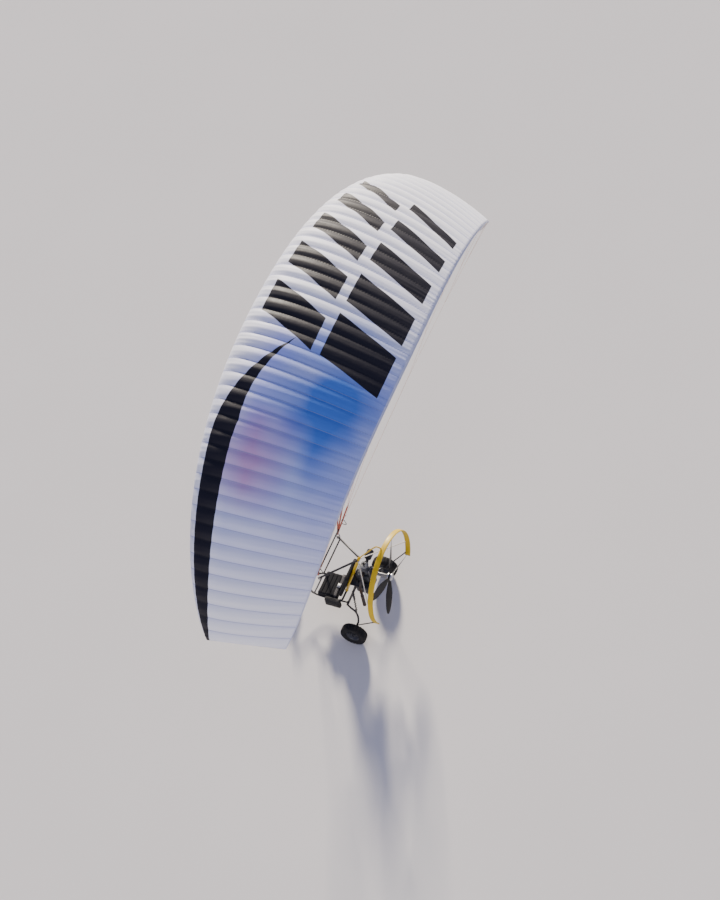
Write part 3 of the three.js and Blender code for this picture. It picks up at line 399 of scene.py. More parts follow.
def arm_ends(side):
    return at(0, side * ARM_ROOT_SIDE, ARM_ROOT_HEIGHT), at(HANG_FORWARD, side * HANG_SIDE, HANG_HEIGHT)


def arm_way(side):
    root, tip = arm_ends(side)
    return (tip - root).normalized()


def riser_base(side):
    """The crown of the karabiner, and the way that the riser is pulled."""
    way = arm_way(side)
    low = -(ARM_RADIUS + SEAT_GAP + LINK_RADIUS) / hypot(way.x, way.y)
    base = arm_ends(side)[1] + way * LINK_INSET + UP * (low + LINK_LENGTH)
    return base, (Vector(canopy_point(side * 0.42, 0.3, -1)) - base).normalized()


def strap_top(side, place):
    base, pull = riser_base(side)
    return base + pull * RISER_LENGTH + AFT * (STRAP_BACK + place * STRAP_SPREAD)


def brake_pulley(side):
    return riser_base(side)[0].lerp(strap_top(side, 1), 0.72) + AFT * 0.02


def strings(runs, radius):
    """Straight taut cords, one for each pair of points, as one mesh."""
    ends = [point for run in runs for point in run]
    cord = from_points("cord", ends, [(2 * k, 2 * k + 1) for k in range(len(runs))])
    bpy.ops.object.select_all(action="DESELECT")
    bpy.context.view_layer.objects.active = cord
    cord.select_set(True)
    bpy.ops.object.convert(target="CURVE")
    adjust(bpy.context.object.data, bevel_depth=radius, bevel_resolution=1, use_fill_caps=True)
    bpy.ops.object.convert(target="MESH")
    return bpy.context.object


def join(name, parts, angle=38):
    """Joins parts into one smooth-shaded piece."""
    bpy.ops.object.select_all(action="DESELECT")
    for part in parts:
        part.select_set(True)
    bpy.context.view_layer.objects.active = parts[0]
    if len(parts) > 1:
        bpy.ops.object.join()
    piece = bpy.context.object
    piece.name = piece.data.name = name
    bpy.ops.object.shade_smooth_by_angle(angle=radians(angle))
    return piece


def build(name, parts, coat, slot, *nodes, body="airframe", angle=38):
    """One piece from its parts, joined and dressed."""
    return dress(join(name, parts, angle), coat, slot, *nodes, body=body)


def fan(anchor, ends, counts, shares, runs):
    """Splits ends into groups, one fork each, and adds the runs of every level from the anchor up."""
    if not counts:
        runs[-1] += [(anchor, end) for end in ends]
        return
    size = len(ends) // counts[0]
    for k in range(counts[0]):
        group = ends[k * size:(k + 1) * size]
        fork = anchor + (sum(group, Vector()) / len(group) - anchor) * shares[0]
        runs[-1 - len(counts)].append((anchor, fork))
        fan(fork, group, counts[1:], shares[1:], runs)


def tinted(colour, share, lift=0.0):
    return tuple(share * value + lift for value in colour)


def cord_coat(name, colour):
    """A braided sheath, dark between its strands."""
    coat = Finish(name, Roughness=0.62, Sheen_Weight=0.1)
    braid = coat.node("TexWave", {"wave_type": "BANDS", "bands_direction": "DIAGONAL"},
                      {"Vector": coat.where, "Scale": 160.0, "Distortion": 0.6})
    coat.set(Base_Color=coat.mix(tinted(colour, 0.6), colour, braid), Normal=coat.bump(braid, 0.0003))
    return coat


red_cord, amber_cord = cord_coat("line_cord_red", LINE_RED), cord_coat("line_cord_amber", LINE_AMBER)
loop_cord = cord_coat("line_loop_cord", LOOP_PALE)
fork_shares = (FIRST_FORK, 1 - (1 - SECOND_FORK) / (1 - FIRST_FORK))
for label, side in SIDES:
    levels, brakes, loops = [[], [], []], [[], [], [], []], []
    rows = [(strap_top(side, place), ROW_RIBS, x) for place, x in STRAP_ROWS]
    for foot, rib_numbers, x in (*rows, (brake_pulley(side), BRAKE_RIBS, BRAKE_ROW)):
        ends = [Vector(canopy_point(side * 2 * rib / CELLS, x, -1, lift=0.001)) for rib in rib_numbers]
        loops += [(end, end + (foot - end).normalized() * LOOP_LENGTH) for end in ends]
        if x == BRAKE_ROW:
            fan(foot, ends, (1, 2, 2), BRAKE_FORKS, brakes)
            continue
        for k in range(MAINS):
            fan(foot + AFT * ((k - 1) * 0.004), ends[k * 4:k * 4 + 4], (1, 2), fork_shares, levels)
    build(f"lines_lower_{label}", [strings(levels[0], MAIN_LINE), strings(levels[1], FORK_LINE)],
          red_cord, "line_cord", f"line_a_inner_{label}", f"line_a_outer_{label}")
    build(f"lines_upper_{label}", [strings(levels[2], TOP_LINE)],
          amber_cord, "line_cord", f"line_c_middle_{label}")
    build(f"lines_brake_{label}", [strings(brakes[0], MAIN_LINE), strings(sum(brakes[1:], []), TOP_LINE)],
          amber_cord, "line_cord", f"brake_line_{label}")
    build(f"line_loops_{label}", [strings(loops, LOOP)], loop_cord, "line_cord")

# Karabiners: forged alloy links with a sprung gate and a screw collar, hung on the arm tips. The riser's end
# loop lies over the crown of each.
LINK_SHAPE = ((-1, 0.10), (-0.55, 0.0), (0.55, 0.0), (1, 0.10), (1, 0.45), (0.95, 0.86), (0.5, 1.0),
              (-0.5, 1.0), (-0.95, 0.86), (-1, 0.45))


def bent_tube(points, radius, closed=False, along=8, around=4):
    """A tube along points, round at its bends, with capped ends unless it is closed."""
    tube = fresh(bpy.ops.curve.primitive_bezier_curve_add, location=(0, 0, 0))
    path = tube.data.splines[0]
    path.bezier_points.add(len(points) - 2)
    for knot, place in zip(path.bezier_points, points):
        adjust(knot, co=place, handle_left_type="AUTO", handle_right_type="AUTO")
    path.use_cyclic_u = closed
    adjust(tube.data, dimensions="3D", resolution_u=along, bevel_depth=radius, bevel_resolution=around,
           use_fill_caps=not closed)
    bpy.ops.object.convert(target="MESH")
    return bpy.context.object


def stand(piece, place, way):
    """Moves a piece's mesh to a place and turns its own upward way to the way given."""
    piece.data.transform(Matrix.Translation(place) @ Vector(way).to_track_quat("Z", "X").to_matrix().to_4x4())
    return piece


def rod(start, end, radius, sides=28, radius_end=None, soften=0.0012):
    """A straight turned bar between two points, with softened rims."""
    bar = fresh(bpy.ops.mesh.primitive_cone_add, vertices=sides, radius1=radius, radius2=radius_end or radius,
                depth=(end - start).length)
    stand(bar, (start + end) / 2, end - start)
    if soften:
        modify(bar, "BEVEL", width=soften, segments=2, limit_method="ANGLE")
    return bar


def pin(foot, way, first, last, radius, sides=28, **more):
    """A rod along a line through the foot, between two distances from it."""
    return rod(foot + way * first, foot + way * last, radius, sides, **more)


def weathered(name, colour, worn, patches, mask, rough, grain, relief, **constant):
    """A finish worn in patches over a fine grain. Patches and grain are (scale, detail), the mask is (gain,
    start, most), rough is (least, spread) and relief is (depth, strength)."""
    coat = Finish(name, **constant)
    patch = coat.noise(*patches)
    gain, start, most = mask
    coat.set(Base_Color=coat.mix(colour, worn, (patch * gain - start).clip() * most),
             Roughness=rough[0] + patch * rough[1], Normal=coat.bump(coat.noise(*grain), *relief))
    return coat


def metal(name, colour, rough=0.32, streaks=60.0):
    """Bare metal, brushed or plated, dull along its streaks."""
    return weathered(name, tinted(colour, 0.72), colour, (streaks, 4.0), (1, 0, 1), (rough - 0.08, 0.2),
                     (streaks, 4.0), (0.0003, 0.6), Metallic=1.0)


alloy = metal("alloy_brushed", (0.62, 0.63, 0.65))
steel = metal("steel_plated", (0.46, 0.46, 0.45), 0.38, 120.0)
for label, side in SIDES:
    across = arm_way(side).cross(UP).normalized()
    foot = riser_base(side)[0] - UP * LINK_LENGTH
    bends = [foot + across * LINK_HALF * a + UP * (LINK_LENGTH * h) for a, h in LINK_SHAPE]
    hinge = foot + across * LINK_HALF
    build(f"karabiner_link_{label}",
          [bent_tube(bends, LINK_RADIUS, closed=True), pin(hinge, UP, 0.030, 0.092, 0.0072),
           pin(hinge, UP, 0.060, 0.084, 0.009, 16)], alloy, "alloy", f"karabiner_{label}")

# Risers: straps of woven polyester webbing, sewn into a loop at the karabiner and at each line link. A brake
# toggle is parked on the rear strap below its pulley.
STRAP_WIDTH, STRAP_THICK = 0.024, 0.0032
WEB_RED, WEB_DARK = (0.44, 0.068, 0.018), (0.035, 0.030, 0.032)
STITCH, DARK_STITCH = (0.75, 0.68, 0.55), (0.4, 0.4, 0.42)
WEB_SECTION = ((-1, -0.5), (-0.94, -1), (0.94, -1), (1, -0.5), (1, 0.5), (0.94, 1), (-0.94, 1), (-1, 0.5))
SCREW_LINK = ((-1, -1), (0, -1.5), (1, -1), (1, 1), (0, 1.5), (-1, 1))
END_LOOP = ((0.075, 0.004), (0.02, 0.011), (-0.004, 0.0105), (-0.016, 0.0), (-0.004, -0.0105), (0.02, -0.011),
            (0.075, -0.004))
TOGGLE = ((0, 0.06), (-0.034, -0.01), (-0.038, -0.05), (0.038, -0.05), (0.034, -0.01))


def strap(points, width=STRAP_WIDTH, thick=STRAP_THICK, facing=None, wide_way=None):
    """Flat webbing along points. Its UV map runs in metres along and across, for weave and stitching."""
    points, corners = [Vector(point) for point in points], len(WEB_SECTION)
    rows, faces, run = [], [], [0.0]
    for k, place in enumerate(points):
        ahead = (points[min(k + 1, len(points) - 1)] - points[max(k - 1, 0)]).normalized()
        wide = (wide_way or ahead.cross(facing)).normalized() * width / 2
        deep = wide.cross(ahead).normalized() * thick / 2
        rows += [place + wide * a + deep * b for a, b in WEB_SECTION]
        if k:
            run.append(run[-1] + (place - points[k - 1]).length)
            first = (k - 1) * corners
            faces += [(first + i, first + j, first + corners + j, first + corners + i)
                      for i, j in ((i, (i + 1) % corners) for i in range(corners))]
    faces += [tuple(range(corners - 1, -1, -1)), tuple(range(len(rows) - corners, len(rows)))]
    piece = from_points("strap", rows, faces=faces)
    layer = piece.data.uv_layers.new(name="web")
    for loop in piece.data.loops:
        row, corner = divmod(loop.vertex_index, corners)
        layer.data[loop.index].uv = (run[row], WEB_SECTION[corner][0] * width / 2)
    return piece


def webbing(name, colour, stitch):
    """Woven webbing, ribbed along and across, with two rows of stitches."""
    coat = Finish(name, Roughness=0.78, Sheen_Weight=0.25, Sheen_Roughness=0.5)
    run, wide, _ = coat.node("UVMap", {"uv_map": "web"}).split()
    rib = (run * 1400.0).sine() * 0.5 + (wide * 2600.0).sine() * 0.5
    row = 1 - (abs(abs(wide) - 0.0075) * 1100.0).clip()
    thread = (0.5 - abs((run * 220.0) % 1.0 - 0.5) * 0.9).clip() * row
    woven = coat.mix(tinted(colour, 0.55), colour, (rib * 0.5 + 0.5).clip())
    coat.set(Base_Color=coat.mix(woven, stitch, (thread * 2.2).clip() * 0.8),
             Normal=coat.bump(rib * 0.6 + thread * 2, 0.0006))
    return coat


web_red, web_dark = webbing("webbing_red", WEB_RED, STITCH), webbing("webbing_dark", WEB_DARK, DARK_STITCH)
grip_rubber = Finish("grip_rubber", Base_Color=(0.02, 0.02, 0.022))
grip_rubber.set(Normal=grip_rubber.bump(grip_rubber.noise(220.0), 0.0006),
                Roughness=0.6 + grip_rubber.noise(30.0) * 0.25)
for label, side in SIDES:
    base, pull = riser_base(side)
    straps, links, outward = [], [], PORT * side
    for place in (-1, 0, 1):
        top = strap_top(side, place)
        way = (top - base).normalized()
        run = [base + pull * 0.012 + (top - base) * share for share in (0, 0.03, 0.5, 0.93, 0.96)]
        straps += [strap(run, facing=outward),
                   strap([top - way * 0.11, top - way * 0.012], 0.022, 0.0072, outward)]
        bends = [top + way * (0.008 + 0.017 * b) + AFT * (0.008 * a) for a, b in SCREW_LINK]
        links += [bent_tube(bends, 0.0024, closed=True, along=5, around=2),
                  pin(top + AFT * 0.008, way, 0.002, 0.014, 0.0042, 6)]
    straps.append(strap([base + pull * s + outward * o for s, o in END_LOOP], wide_way=AFT))
    build(f"riser_straps_{label}", straps, web_red, "riser_webbing", f"riser_{label}")
    build(f"line_links_{label}", links, steel, "alloy")
    rear_way = (strap_top(side, 1) - base).normalized()
    eye = base + rear_way * 0.47 + AFT * 0.020
    grip = base + rear_way * 0.30 + Vector((side * 0.006, 0.024, 0))
    discs = [pin(eye, PORT, -half, half, size, sides)
             for half, size, sides in ((0.006, 0.011, 24), (0.009, 0.004, 12))]
    build(f"brake_pulley_{label}", discs, alloy, "alloy")
    handle = bent_tube([grip + AFT * a + UP * h for a, h in TOGGLE], 0.0055, closed=True, along=6, around=3)
    build(f"brake_toggle_{label}", [handle], grip_rubber, "riser_webbing")
    cord = strings([(grip + UP * 0.06, eye), (eye, brake_pulley(side))], MAIN_LINE)
    build(f"toggle_cord_{label}", [cord], red_cord, "line_cord")

# Frame: black powder-coated steel tubes, mitred and welded, with a bead round each joint. Two rails run from
# the rear cross tube to the nose, where the steering head leans back.
RAIL_SIDE, RAIL_HEIGHT, RAIL_RADIUS, RAIL_REAR, RAIL_BEND = 0.200, 0.315, 0.016, 0.270, 0.900
NOSE_REAR, NOSE_RADIUS, HEAD_LOW, HEAD_HIGH, HEAD_RADIUS = 1.050, 0.020, 0.236, 0.352, 0.023
CROSS_HALF, CROSS_RADIUS, SEAT_CROSS = 0.240, 0.019, 0.385
NOSE_CENTRE, RAKE = at(1.448, 0, 0.180), radians(15)
FRAME_BLACK = (0.011, 0.011, 0.014)


def on_column(x, z):
    """A point by the steering column: z runs up its leaning axis from the nose wheel's centre."""
    return NOSE_CENTRE + Vector((x, z * sin(RAKE), z * cos(RAKE)))


def bead(centre, way, radius, thick=0.0035):
    """A weld bead: a low ring round a tube's end."""
    return stand(fresh(bpy.ops.mesh.primitive_torus_add, major_segments=32, minor_segments=6,
                       major_radius=radius, minor_radius=thick), centre, way)


def powder(name, colour, rough=0.42, coat_weight=0.12):
    """Powder coat: a fine orange-peel skin, dusty and duller in broad patches."""
    return weathered(name, colour, tinted(colour, 0.85, 0.012), (5.0, 3.0), (2.2, 0.7, 1),
                     (rough - 0.08, 0.22), (420.0, 1.0), (0.0004, 0.5), Coat_Weight=coat_weight,
                     Coat_Roughness=0.25, Specular_IOR_Level=0.32)


def rail_point(forward, port):
    return at(forward, port, RAIL_HEIGHT)


black_coat = powder("frame_powder_black", FRAME_BLACK)
parts = []
for side in (1, -1):
    bends = ((RAIL_REAR, RAIL_SIDE), (RAIL_BEND - 0.05, RAIL_SIDE), (RAIL_BEND + 0.04, RAIL_SIDE - 0.035),
             (NOSE_REAR + 0.016, 0.004))
    rail = [rail_point(forward, side * port) for forward, port in bends]
    cross_end = rail_point(RAIL_REAR, side * CROSS_HALF)
    parts += [bent_tube(rail, RAIL_RADIUS, along=12, around=6),
              bead(rail_point(RAIL_REAR + CROSS_RADIUS, side * RAIL_SIDE), AFT, RAIL_RADIUS),
              bead(rail_point(SEAT_CROSS, side * (RAIL_SIDE - RAIL_RADIUS)), PORT, RAIL_RADIUS),
              pin(cross_end, PORT * side, -0.006, 0.0005, CROSS_RADIUS - 0.003, 24)]
parts += [rod(rail_point(RAIL_REAR, -CROSS_HALF), rail_point(RAIL_REAR, CROSS_HALF), CROSS_RADIUS, 36),
          rod(rail_point(SEAT_CROSS, -RAIL_SIDE), rail_point(SEAT_CROSS, RAIL_SIDE), RAIL_RADIUS, 32)]
column_way = on_column(0, 1) - NOSE_CENTRE
head_middle = on_column(0, (HEAD_LOW + HEAD_HIGH) / 2)
nose_way = (head_middle - rail_point(NOSE_REAR, 0)).normalized()
parts += [rod(rail_point(NOSE_REAR, 0), head_middle - nose_way * (HEAD_RADIUS - 0.002), NOSE_RADIUS, 36),
          rod(on_column(0, HEAD_LOW), on_column(0, HEAD_HIGH), HEAD_RADIUS, 36),
          bead(head_middle - nose_way * (HEAD_RADIUS + 0.001), nose_way, NOSE_RADIUS)]
parts += [bead(on_column(0, height), column_way, HEAD_RADIUS, 0.0025)
          for height in (HEAD_LOW + 0.006, HEAD_HIGH - 0.006)]
build("keel_frame_tubes", parts, black_coat, "frame_black", "keel_frame")

# Mast: one leaning tube, powder-coated yellow, bolted over the seat cross tube. Black arms, struts and a
# spreader bar hang the trike from its risers.
MAST_FOOT, MAST_TOP, MAST_RADIUS = rail_point(SEAT_CROSS, 0), at(0, 0, ARM_ROOT_HEIGHT), 0.025
YELLOW = (0.62, 0.40, 0.003)
mast_way = (MAST_TOP - MAST_FOOT).normalized()
MAST_END = MAST_TOP + mast_way * 0.028
ARM_PAST, STRUT_RADIUS, STRUT_FOOT, STRUT_BEHIND, SPREADER_RADIUS = 0.032, 0.012, 0.870, 0.040, 0.012


def gloss_paint(name, colour, coat_weight=0.18, rough=0.26):
    """Thick gloss paint over primer, a little chalky where the sun has worn it."""
    return weathered(name, colour, tinted(colour, 0.88, 0.012), (3.5, 4.0), (2.4, 0.8, 1), (rough, 0.16),
                     (300.0, 1.0), (0.0003, 0.4), Coat_Weight=coat_weight, Coat_Roughness=0.20,
                     Specular_IOR_Level=0.24)


def welded(start, end, radius, sides, gaps, beads, thick=0.003):
    """A tube that starts and ends at these gaps, with a bead this far from each end that has one."""
    way = (end - start).normalized()
    places = [start + way * beads[0], *(end - way * back for back in beads[1:])]
    return [rod(start + way * gaps[0], end - way * gaps[1], radius, sides),
            *(bead(place, way, radius, thick) for place in places)]


yellow_paint = gloss_paint("paint_yellow", YELLOW)
mast = [rod(MAST_FOOT + mast_way * 0.017, MAST_END, MAST_RADIUS, 40),
        bead(MAST_FOOT + mast_way * 0.022, mast_way, MAST_RADIUS, 0.004),
        bead(MAST_END - mast_way * 0.003, mast_way, MAST_RADIUS - 0.002, 0.003)]
build("mast_tube", mast, yellow_paint, "mast_yellow", "mast")
for label, side in SIDES:
    (root, tip), way = arm_ends(side), arm_way(side)
    arm = [rod(root + way * 0.018, tip + way * ARM_PAST, ARM_RADIUS, 36),
           bead(root + way * 0.022, way, ARM_RADIUS),
           pin(tip, way, ARM_PAST - 0.004, ARM_PAST + 0.0005, 0.013, 24),
           pin(tip, way, 0.0265, 0.030, ARM_RADIUS + 0.003, 36)]
    build(f"hang_arm_tube_{label}", arm, black_coat, "frame_black", f"hang_arm_{label}")
    strut = welded(tip - way * STRUT_BEHIND, rail_point(STRUT_FOOT, side * RAIL_SIDE), STRUT_RADIUS, 28,
                   (0.0185, 0.0165), (0.0195, 0.0175))
    build(f"side_strut_tube_{label}", strut, black_coat, "frame_black", f"side_strut_{label}")
ends = [riser_base(side)[0].lerp(strap_top(side, 0), 0.15) + PORT * (side * 0.012) for side in (1, -1)]
across = (ends[0] - ends[1]).normalized()
spreader = [rod(ends[1] + across * 0.001, ends[0] - across * 0.001, SPREADER_RADIUS, 28)]
spreader += [pin(ends[0], across, -0.010, 0, 0.0145), pin(ends[1], across, 0, 0.010, 0.0145)]
build("spreader_bar_tube", spreader, black_coat, "frame_black", "spreader_bar")

# Engine cradle: a plate deck welded to two struts that rise from the rear cross tube, with rubber mounts
# bolted through it under the engine.
DECK_FRONT, DECK_REAR, DECK_HALF, DECK_LOW, DECK_TOP = 0.150, -0.160, 0.205, 0.905, 0.917
CRADLE_SIDE, CRADLE_RADIUS = 0.185, 0.011
SLOT_FRONT, SLOT_REAR, SLOT_PORT, SLOT_HALF, SLOT_PAST = 0.045, -0.105, 0.145, 0.0175, 0.01


def slab(low, high, soften=0.002, steps=2):
    """A plate or block between two corners, with softened edges."""
    block = fresh(bpy.ops.mesh.primitive_cube_add, size=1)
    size = [abs(high[k] - low[k]) for k in range(3)]
    block.data.transform(Matrix.Translation((low + high) / 2) @ Matrix.Diagonal((*size, 1)))
    return modify(block, "BEVEL", width=soften, segments=steps)


def block(front, rear, starboard, port, low, high, soften=0.002, steps=2):
    """A slab given by its six faces."""
    return slab(at(front, starboard, low), at(rear, port, high), soften, steps)


def bolts(places, way, size=0.006, height=0.005, washer=1.7):
    """Hex heads on their washers, standing on a face."""
    return [part for place in places for part in (
        pin(place, way, 0, 0.0015, size * washer, 20, soften=0.0003),
        pin(place, way, 0.0012, 0.0015 + height, size * 1.1, 6, soften=0.0006))]


def cut(piece, tool):
    """Takes one closed shape out of another."""
    bpy.ops.object.select_all(action="DESELECT")
    modify(piece, "BOOLEAN", object=tool, solver="EXACT")
    bpy.data.objects.remove(tool)
    return piece


def cradle_top(side):
    return at(0.060, side * CRADLE_SIDE, DECK_LOW + 0.004)


deck = block(DECK_FRONT, DECK_REAR, -DECK_HALF, DECK_HALF, DECK_LOW, DECK_TOP)
deck = cut(deck, rod(MAST_FOOT, MAST_END, MAST_RADIUS + 0.001, 40, soften=0))
for port in (SLOT_PORT, -SLOT_PORT):
    deck = cut(deck, block(SLOT_FRONT, SLOT_REAR, port - SLOT_HALF, port + SLOT_HALF, DECK_LOW - SLOT_PAST,
                           DECK_TOP + SLOT_PAST, 0.012, 4))
cradle = [deck]
for side in (1, -1):
    cradle += welded(rail_point(RAIL_REAR, side * CRADLE_SIDE), cradle_top(side), CRADLE_RADIUS, 28,
                     (0.020, 0), (0.0205, 0.005))
    cradle += bolts([at(forward, side * 0.118, DECK_TOP) for forward in (0.045, -0.115)], UP, 0.007)
through = MAST_FOOT + mast_way * ((DECK_TOP - RAIL_HEIGHT) / mast_way.z)
cradle.append(bead(through, mast_way, MAST_RADIUS + 0.001, 0.003))
build("cradle_deck", cradle, black_coat, "frame_black", "engine_cradle")

# Engine: a single-cylinder two-stroke. Cast crankcase halves bolted together, a recoil starter in front, a
# finned cylinder and head on top, cooled by the propeller's wind.
CASE_FRONT, CASE_REAR, CASE_HALF, CASE_TOP, CASE_SEAM = 0.085, -0.140, 0.100, 1.0823, -0.016
BARREL_FORWARD, FIN_RADIUS, BARREL_RADIUS, HEAD_HEIGHT = -0.070, 0.066, 0.046, 0.210
FIN_STEP, FINS = 0.0135, 11
STARTER = ((0.004, 0), (0.074, 0), (0.078, 0.004), (0.078, 0.016), (0.070, 0.023), (0.040, 0.0235),
           (0.036, 0.020), (0.012, 0.020), (0.008, 0.0235), (0.004, 0.0235))
HEAD_PROFILE = ((BARREL_RADIUS + 0.004, 0.168), (0.060, 0.170), (0.062, 0.180), (0.050, 0.186),
                (0.050, 0.190), (0.022, 0.200), (0.020, HEAD_HEIGHT))
FIN_PROFILE = ((BARREL_RADIUS, 0), (FIN_RADIUS, 0.001), (FIN_RADIUS, 0.0032), (BARREL_RADIUS, 0.0042))


def edit(*steps):
    """Runs operators of edit mode in turn, each on all of the piece."""
    bpy.ops.object.mode_set(mode="EDIT")
    for operator, settings in steps:
        bpy.ops.mesh.select_all(action="SELECT")
        operator(**settings)
    bpy.ops.object.mode_set(mode="OBJECT")


OUTWARDS = (bpy.ops.mesh.normals_make_consistent, {"inside": False})


def turned(profile, centre, way, steps=64):
    """A turned piece: a closed profile of (radius, distance along the axis) spun once round its axis."""
    piece = fresh(bpy.ops.mesh.primitive_circle_add, vertices=len(profile), radius=1)
    for vertex, (radius, along) in zip(piece.data.vertices, profile):
        vertex.co = (radius, 0, along)
    edit((bpy.ops.mesh.spin, {"steps": steps, "angle": tau, "center": (0, 0, 0), "axis": (0, 0, 1)}),
         (bpy.ops.mesh.remove_doubles, {"threshold": 1e-5}), OUTWARDS)
    return stand(piece, centre, way)


def clock(turn, radius):
    """The way out from a lengthwise axis, turned from straight up towards port."""
    return Vector((radius * sin(turn), 0, radius * cos(turn)))


def casting(name, colour):
    """Sand-cast aluminium with a grained skin and oily, darker hollows."""
    return weathered(name, tinted(colour, 0.45), colour, (14.0, 4.0), (2, 0.3, 1), (0.40, 0.25),
                     (320.0, 3.0), (0.0006, 0.8), Metallic=0.75)


cast_dark = casting("engine_cast_dark", (0.055, 0.058, 0.068))
cast_pale = casting("engine_cast_pale", (0.34, 0.35, 0.37))
case = [block(CASE_FRONT - 0.022, CASE_REAR, -CASE_HALF, CASE_HALF, DECK_TOP + SEAT_GAP, CASE_TOP, 0.012, 4),
        block(-0.010, -0.022, -CASE_HALF - 0.003, CASE_HALF + 0.003, DECK_TOP + 0.004, CASE_TOP + 0.002,
              0.003)]
for port in (-0.085, -0.045, 0.045, 0.085):
    case.append(block(CASE_FRONT - 0.030, CASE_REAR + 0.01, port - 0.003, port + 0.003, DECK_TOP + 0.010,
                      CASE_TOP + 0.004))
for side in (1, -1):
    for height in (DECK_TOP + 0.03, DECK_TOP + 0.08, DECK_TOP + 0.13):
        case += bolts([at(CASE_SEAM, side * (CASE_HALF + 0.002), height)], PORT * side, 0.0045)
        case.append(block(0.045, -0.12, side * (CASE_HALF + 0.004), side * (CASE_HALF - 0.01), height - 0.004,
                          height + 0.004, 0.0025))
starter = at(CASE_FRONT - 0.024, 0, 1.000)
case.append(turned(STARTER, starter, -AFT, 48))
case += [pin(starter + clock(k * tau / 12, 0.056), -AFT, 0.0232, 0.0242, 0.006, 12, soften=0)
         for k in range(12)]
build("crankcase_casting", case, cast_dark, "engine_dark", "engine_crankcase")

barrel_foot, head_low = at(BARREL_FORWARD, 0, CASE_TOP + SEAT_GAP), CASE_TOP + 0.172
profile = [(0.020, 0.0), (0.062, 0.0), (0.062, 0.008), (BARREL_RADIUS, 0.010)]
profile += [(radius, 0.018 + k * FIN_STEP + along) for k in range(FINS) for radius, along in FIN_PROFILE]
barrel = [turned([*profile, *HEAD_PROFILE], barrel_foot, UP)]
for k in range(-4, 5):
    half, port = sqrt(FIN_RADIUS**2 - (k * FIN_STEP) ** 2), k * FIN_STEP
    barrel.append(block(BARREL_FORWARD + half, BARREL_FORWARD - half, port - 0.0016, port + 0.0016, head_low,
                        head_low + (0.034 if abs(k) > 1 else 0.022), 0.0014))
barrel += bolts([barrel_foot + Vector((a * 0.034, b * 0.034, 0.186)) for a in (1, -1) for b in (1, -1)],
                UP, 0.006, 0.012)
barrel.append(pin(barrel_foot, UP, 0.186, HEAD_HEIGHT, 0.017, 6))
build("cylinder_finned", barrel, cast_pale, "engine_dark", "engine_cylinder")
plug_top = barrel_foot + UP * (HEAD_HEIGHT + 0.040)
lead = [plug_top - UP * 0.010, plug_top + Vector((-0.030, 0.012, -0.004)), at(-0.06, -0.085, 1.255),
        at(0.02, -0.108, 1.16), at(0.045, -0.092, 1.06)]
cap = [rod(barrel_foot + UP * (HEAD_HEIGHT - 0.004), plug_top, 0.0125, 24, 0.0105, 0.003),
       bead(barrel_foot + UP * (HEAD_HEIGHT + 0.006), UP, 0.0125, 0.0018),
       bent_tube(lead, 0.0036, along=12, around=3)]
build("plug_cap", cap, grip_rubber, "engine_dark")

# Reduction drive: a machined alloy plate with two toothed pulleys and a belt. The upper pulley carries the
# propeller shaft.
PROP_HEIGHT, SHAFT_END, HUB_FRONT, HUB_REAR, HUB_RADIUS = 1.120, -0.490, -0.450, -0.524, 0.058
PLATE_FRONT, PLATE_REAR, PLATE_HALF, PLATE_LOW, PLATE_HIGH = -0.1403, -0.1703, 0.062, 0.930, 1.200
CRANK_HEIGHT, BELT_BIG, BELT_SMALL, BELT_WIDTH, BELT_DEEP = 0.975, 0.0595, 0.0335, 0.024, 0.0035


def shaft_point(forward, height=PROP_HEIGHT):
    return at(forward, 0, height)


def pulley(size, height):
    """A flanged pulley with a hollow face, sized by the bottom of its groove."""
    lip = size + 0.005
    profile = ((0.012, 0), (lip, 0), (lip, 0.0025), (size, 0.003), (size, 0.033), (lip, 0.0335), (lip, 0.036),
               (size - 0.012, 0.036), (size - 0.016, 0.030), (0.020, 0.030), (0.016, 0.036), (0.012, 0.036))
    return turned(profile, shaft_point(PLATE_REAR - 0.003, height), AFT, 56)


plate = block(PLATE_FRONT, PLATE_REAR, -PLATE_HALF, PLATE_HALF, PLATE_LOW, PLATE_HIGH, 0.008, 3)
for height, size in ((1.040, 0.024), (1.185, 0.010)):
    plate = cut(plate, rod(shaft_point(PLATE_FRONT + 0.01, height), shaft_point(PLATE_REAR - 0.01, height),
                           size, 32, soften=0))
drive = [plate, rod(shaft_point(PLATE_REAR + 0.004), shaft_point(HUB_FRONT + 0.0005), 0.030, 40),
         rod(shaft_point(HUB_FRONT), shaft_point(SHAFT_END), 0.014, 24)]
drive += bolts([at(PLATE_REAR, port, height) for height in (0.945, 1.165) for port in (0.048, -0.048)], AFT)
drive += [pulley(0.056, PROP_HEIGHT), pulley(0.030, CRANK_HEIGHT)]
build("drive_plate", drive, metal("drive_alloy_grey", (0.20, 0.20, 0.21), 0.42), "alloy", "reduction_drive")
lean = asin((BELT_BIG - BELT_SMALL) / (PROP_HEIGHT - CRANK_HEIGHT))
belt_way = []
for radius, height, first, sweep, count in ((BELT_BIG, PROP_HEIGHT, -lean, pi + 2 * lean, 24),
                                            (BELT_SMALL, CRANK_HEIGHT, pi + lean, pi - 2 * lean, 16)):
    belt_way += [at(PLATE_REAR - 0.009, radius * cos(turn), height + radius * sin(turn))
                 for turn in (first + sweep * k / count for k in range(count + 1))]
belt = fresh(bpy.ops.mesh.primitive_circle_add, vertices=len(belt_way), radius=1)
for vertex, place in zip(belt.data.vertices, belt_way):
    vertex.co = place
edit((bpy.ops.mesh.extrude_region_move, {"TRANSFORM_OT_translate": {"value": (0, BELT_WIDTH, 0)}}), OUTWARDS)
build("drive_belt", [modify(belt, "SOLIDIFY", thickness=BELT_DEEP, offset=1)], grip_rubber, "alloy")

